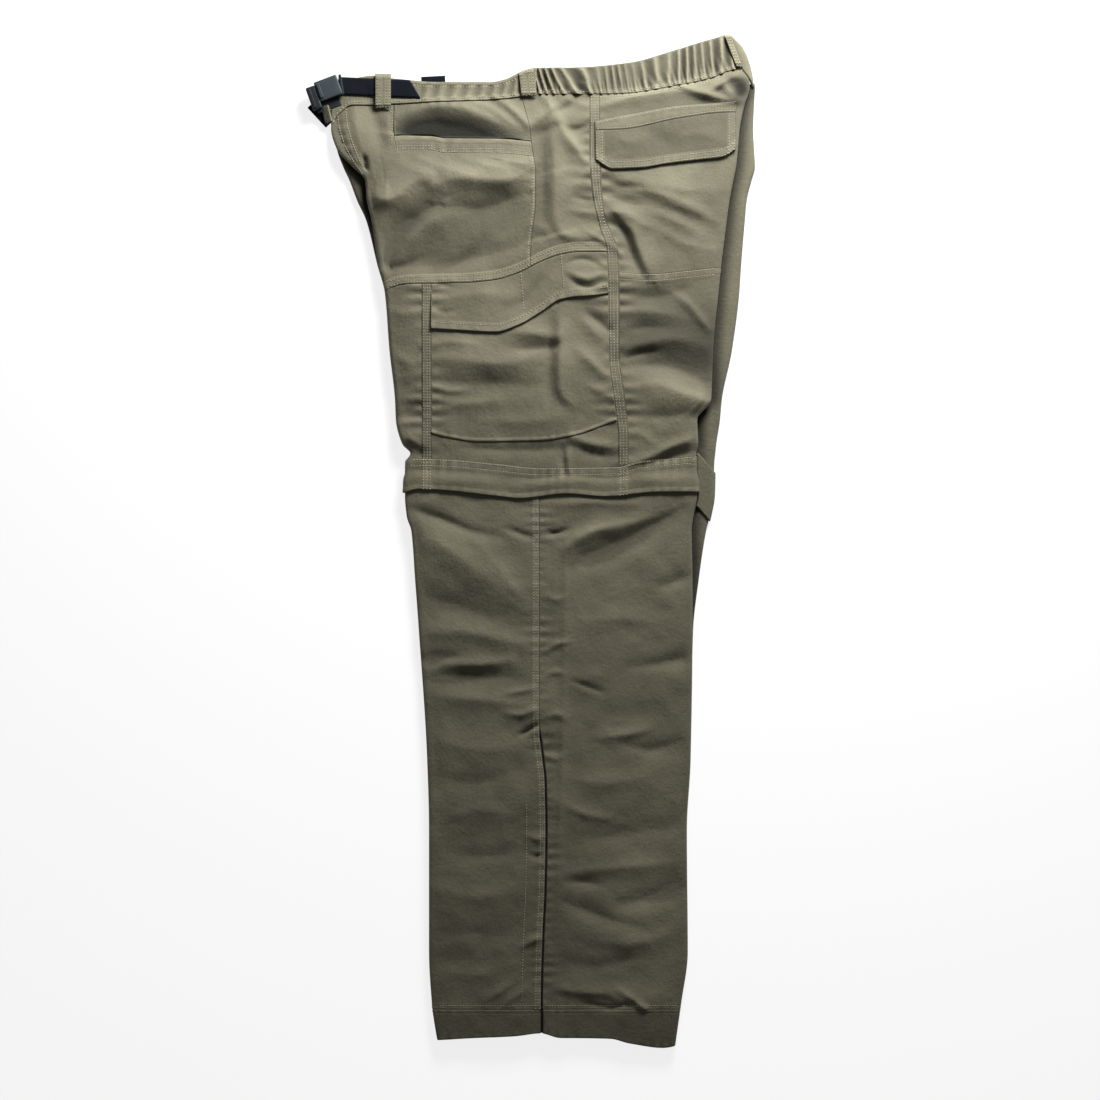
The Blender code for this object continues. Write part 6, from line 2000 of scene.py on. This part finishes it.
@dataclass
class RightLeg:
    """What shows of the leg below: its rounded edges, and the band over its knee zip."""

    form: LegForm
    under_roll: float = 5.0
    neck: float = 3.0
    shift: float = 1.3
    small_roll: float = 1.3
    least: float = 0.3
    top_room: float = 0.6
    waist_room: float = 2.2
    clearance: float = 0.8
    waist_split: float = 0.5
    waist_start: float = 400.0
    waist_reach: float = 40.0
    slant_start: float = 330.0
    end: float = 474.0
    slant: float = 0.085
    leg_end: float = -507.0
    hollow: float = 0.4
    hollow_reach: float = 7.0
    # How dark the painted shade beside the upper leg is, and how far it reaches
    edge_shade: float = 1.7
    shade_reach: float = 15.0
    under_gain: float = 0.2
    under_most: float = 0.7
    band_slant: float = 1.15
    band_bend: float = 179.0
    band_low: float = 36.0
    band_high: float = 95.0
    band_end: float = 0.32
    covered_middle: float = 55.0
    covered_half: float = 48.0
    covered_fade: float = 8.0
    streak_slant: float = 0.12
    streak_stretch: float = 0.14
    top_columns: int = 60
    under_columns: int = 42
    streaks: Rumple = field(default_factory=lambda: Rumple(7.0, 0.55, 11))
    row_step: float = 3.0
    rolls: int = 10

    def near_waist(self, x: Array, y: Array) -> Array:
        """Grows from 0 to 1 towards the waist, where the stack is pressed thin."""
        return smooth_step((self.form.level(x, y) - self.waist_start) / self.waist_reach)

    def filling(self, x: Array, y: Array) -> Array:
        """Returns the top of the hidden layers."""
        room = self.top_room + self.waist_room * self.near_waist(x, y)
        high = np.minimum(self.form.plain(x, y), self.form.height(x, y)) - room - self.clearance
        return np.maximum(self.form.base(x, y) + self.least, high)

    def lower_top(self, x: Array, y: Array) -> Array:
        """Returns the top of the leg below."""
        return self.form.split(x, y) - self.waist_split * self.near_waist(x, y)

    def arc(self, centre_x: Array, centre_z: Array, reach_x: Array, reach_z: Array,
            start: float, end: float) -> tuple[Array, Array]:
        """Returns an elliptic arc for every row, angles in half turns from straight down."""
        turn = math.pi * np.linspace(start, end, self.rolls + 1)[None, :]
        return centre_x + reach_x * np.sin(turn), centre_z - reach_z * np.cos(turn)

    def layers(self) -> bpy.types.Object:
        """Returns the one rounded piece of all the layers that don't show."""
        levels = np.arange(self.leg_end + self.form.seam_gap, self.end, self.row_step)
        base = np.append(levels, self.end)[:, None]
        slant = self.slant * smooth_step((base - self.slant_start) / (self.end - self.slant_start))
        y_left = base + slant * under_left_edge(base)
        y_right = base + slant * under_right_edge(base)
        low_left, low_right = under_left_edge(y_left), under_right_edge(y_right)
        left_x, right_x = self.form.front_start(y_left), self.form.back_start(y_right)
        split_left, split_right = self.lower_top(left_x, y_left), self.lower_top(right_x, y_right)
        neck_right = np.minimum(right_x, low_right - self.under_roll) - self.neck
        neck_left = np.maximum(left_x, low_left + self.under_roll) + self.neck
        base_right = self.form.base(right_x, y_right) + self.form.seam_gap
        base_left = self.form.base(left_x, y_left) + self.form.seam_gap
        high_right, high_left = self.filling(right_x, y_right), self.filling(left_x, y_left)
        bank_right, bank_left = low_right - self.under_roll, low_left + self.under_roll
        slope = np.linspace(0.0, 1.0, 7)[None, 1:]
        shelf_right = bank_right + slope * (neck_right - bank_right)
        shelf_left = neck_left + (1.0 - slope[:, ::-1]) * (bank_left - neck_left)
        dip_right = self.hollow * smooth_step((right_edge(y_right) + self.hollow_reach - shelf_right)
                                              / self.hollow_reach)
        dip_left = self.hollow * smooth_step((shelf_left - left_edge(y_left) + self.hollow_reach)
                                             / self.hollow_reach)
        parts = [self.arc(bank_right, 0.5 * split_right, self.under_roll, 0.5 * split_right, 0.0, 1.0),
                 (shelf_right, split_right * (1.0 - dip_right)), (neck_right, base_right),
                 self.arc(right_x - self.shift, 0.5 * (high_right + base_right), self.small_roll,
                          0.5 * (high_right - base_right), 0.0, 1.0)]
        share = np.linspace(0.0, 1.0, self.top_columns)[None, 1:-1]
        across = right_x + (left_x - right_x) * share
        parts.append((across, self.filling(across, base + slant * across)))
        parts += [self.arc(left_x + self.shift, 0.5 * (high_left + base_left), self.small_roll,
                           0.5 * (high_left - base_left), 1.0, 2.0),
                  (neck_left, base_left), (shelf_left, split_left * (1.0 - dip_left)),
                  self.arc(bank_left, 0.5 * split_left, self.under_roll, 0.5 * split_left, 1.0, 2.0)]
        share = np.linspace(0.0, 1.0, self.under_columns)[None, 1:-1]
        under = bank_left + (bank_right - bank_left) * share
        lifted = self.under_gain * self.form.creases(under, base + slant * under)
        parts.append((under, np.clip(lifted, 0.0, self.under_most)))
        x, z = (np.concatenate([np.broadcast_to(part[axis], (len(base), part[axis].shape[1]))
                                for part in parts], 1) for axis in (0, 1))
        y = base + slant * x
        past = np.maximum(x - right_edge(y), left_edge(y) - x)
        covered = np.abs(y - self.covered_middle) - self.covered_half
        free = smooth_step((past + 2.0) / 4.0) * smooth_step(covered / self.covered_fade)
        streaks = self.streaks(x - self.streak_slant * y, self.streak_stretch * y)
        z = z + free * np.clip(z / self.form.split(x, y), 0.0, 1.0) * streaks
        points = np.stack((x, y, np.maximum(0.0, z)), axis=-1) * MM
        body = bmesh.new()
        rings = [[body.verts.new(point) for point in ring] for ring in points]
        count = x.shape[1]
        for near, far in zip(rings, rings[1:]):
            for index in range(count):
                after = (index + 1) % count
                body.faces.new((near[index], near[after], far[after], far[index]))
        caps = [body.faces.new(rings[0]), body.faces.new(reversed(rings[-1]))]
        body.normal_update()
        bmesh.ops.triangulate(body, faces=caps, ngon_method="EAR_CLIP")
        bmesh.ops.recalc_face_normals(body, faces=body.faces[:])
        mesh = bpy.data.meshes.new("hidden_layers_cloth")
        body.to_mesh(mesh)
        body.free()
        marks = mesh.attributes.new("wear", "FLOAT", "POINT")
        # Painted shade: the hidden layers are darker close beside the upper leg's edges, where the gap
        # between the layers lies in shadow
        shade = -self.edge_shade * (1.0 - smooth_step((past - 1.0) / self.shade_reach))
        marks.data.foreach_set("value", shade.ravel().astype(np.float32))
        mesh.shade_smooth()
        return linked("hidden_layers_cloth", mesh)

    def band(self) -> tuple[Array, Array]:
        """Works out the knee band of the leg below.

        Returns:
            The points by row and column, and the wear and shade of each, which is nil here.
        """
        level = np.linspace(self.band_low, self.band_high, 30)[:, None]
        share = np.concatenate((np.linspace(0.0, 1.0, 8)[:-1], np.ones(14)))[None, :]
        turn = math.pi * np.concatenate((np.ones(7), np.linspace(1.0, self.band_end, 14)))[None, :]
        lift = self.form.lay_gap + self.form.cloth
        y = level + np.zeros(share.shape)
        for _ in range(LAYOUTS - 1):
            start, centre = right_edge(y) + 1.0, under_right_edge(y) - self.under_roll
            x = start + share * (centre - start) + (self.under_roll + lift) * np.sin(turn)
            y = level - self.band_slant * np.maximum(0.0, x - self.band_bend)
        half = 0.5 * self.form.split(centre, y)
        z = half - (half + lift) * np.cos(turn)
        points = np.stack((x, np.broadcast_to(y, x.shape), z), axis=-1)
        return points, np.zeros(x.shape)

    def make(self, wardrobe: Wardrobe) -> None:
        """Builds and dresses what shows of the leg below."""
        layers = self.layers()
        wardrobe.dress(layers, wardrobe.cloth, Slot.INSIDE, "hidden_layers")
        points, wear = self.band()
        wardrobe.cloth_piece("right_knee_band_cloth", points, wear, self.form.cloth,
                             "right_knee_band")


@dataclass
class Studio:
    """A pale floor, soft light from beyond the waist, and the camera straight above."""

    middle: tuple[float, float] = (0.0189, -0.0103)
    height: float = 3.0
    view_width: float = 1.188
    cloth_height: float = 0.012
    sensor: float = 36.0
    floor_size: float = 8.0
    floor_drop: float = 0.0002
    floor_grey: float = 0.27
    floor_glow: float = 0.81
    key_place: tuple[float, float, float] = (0.34, 1.12, 0.52)
    key_aim: tuple[float, float, float] = (-0.02, 0.16, 0.0)
    key_size: tuple[float, float] = (0.50, 0.30)
    key_power: float = 30.5
    sky: float = 0.12

    def camera(self) -> None:
        """Sets the camera."""
        data = bpy.data.cameras.new("camera")
        data.sensor_width = self.sensor
        data.lens = self.sensor * (self.height - self.cloth_height) / self.view_width
        camera = linked("camera", data)
        camera.location = (*self.middle, self.height)
        bpy.context.scene.camera = camera

    def area(self, name: str, place: tuple[float, float, float], aim: tuple[float, float, float],
             size: tuple[float, float], power: float) -> None:
        """Adds a soft light.

        Args:
            name: its name.
            place: where it stands.
            aim: where it points.
            size: its width and height.
            power: its power in watts.
        """
        data = bpy.data.lights.new(name, "AREA")
        data.shape = "RECTANGLE"
        data.size, data.size_y = size
        data.energy = power
        light = linked(name, data)
        light.location = place
        light.rotation_euler = (Vector(aim) - Vector(place)).to_track_quat("-Z", "Y").to_euler()

    def floor(self) -> None:
        """Lays the pale floor, lit a little from within as a light table is."""
        bpy.ops.mesh.primitive_plane_add(size=self.floor_size, location=(0.0, 0.0, -self.floor_drop))
        floor = bpy.context.object
        floor.name = "floor"
        finish, _, shader = new_tree("pale_floor")
        shader.inputs["Base Color"].default_value = (*(self.floor_grey,) * 3, 1.0)
        shader.inputs["Roughness"].default_value = 0.9
        shader.inputs["Emission Color"].default_value = (1.0, 1.0, 1.0, 1.0)
        shader.inputs["Emission Strength"].default_value = self.floor_glow
        floor.data.materials.append(finish)

    def make(self) -> None:
        """Sets the studio up."""
        self.camera()
        self.floor()
        self.area("key", self.key_place, self.key_aim, self.key_size, self.key_power)
        world = bpy.data.worlds.new("studio")
        world.use_nodes = True
        background = world.node_tree.nodes["Background"]
        background.inputs["Color"].default_value = (1.0, 1.0, 1.0, 1.0)
        background.inputs["Strength"].default_value = self.sky
        bpy.context.scene.world = world
        bpy.context.scene.view_settings.view_transform = "Standard"


def main() -> None:
    """Builds the garment and the studio."""
    logging.basicConfig(level=logging.INFO, format="%(name)s: %(message)s")
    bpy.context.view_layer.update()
    form = LegForm()
    wardrobe = Wardrobe()
    for part in (RightLeg(form), Thigh(form), CargoPocket(form), BackPocket(form), LowerLeg(form),
                 Hems(form), Waist(form), BeltLoops(form), Belt(form)):
        part.make(wardrobe)
    Studio().make()


if __name__ == "__main__":
    main()
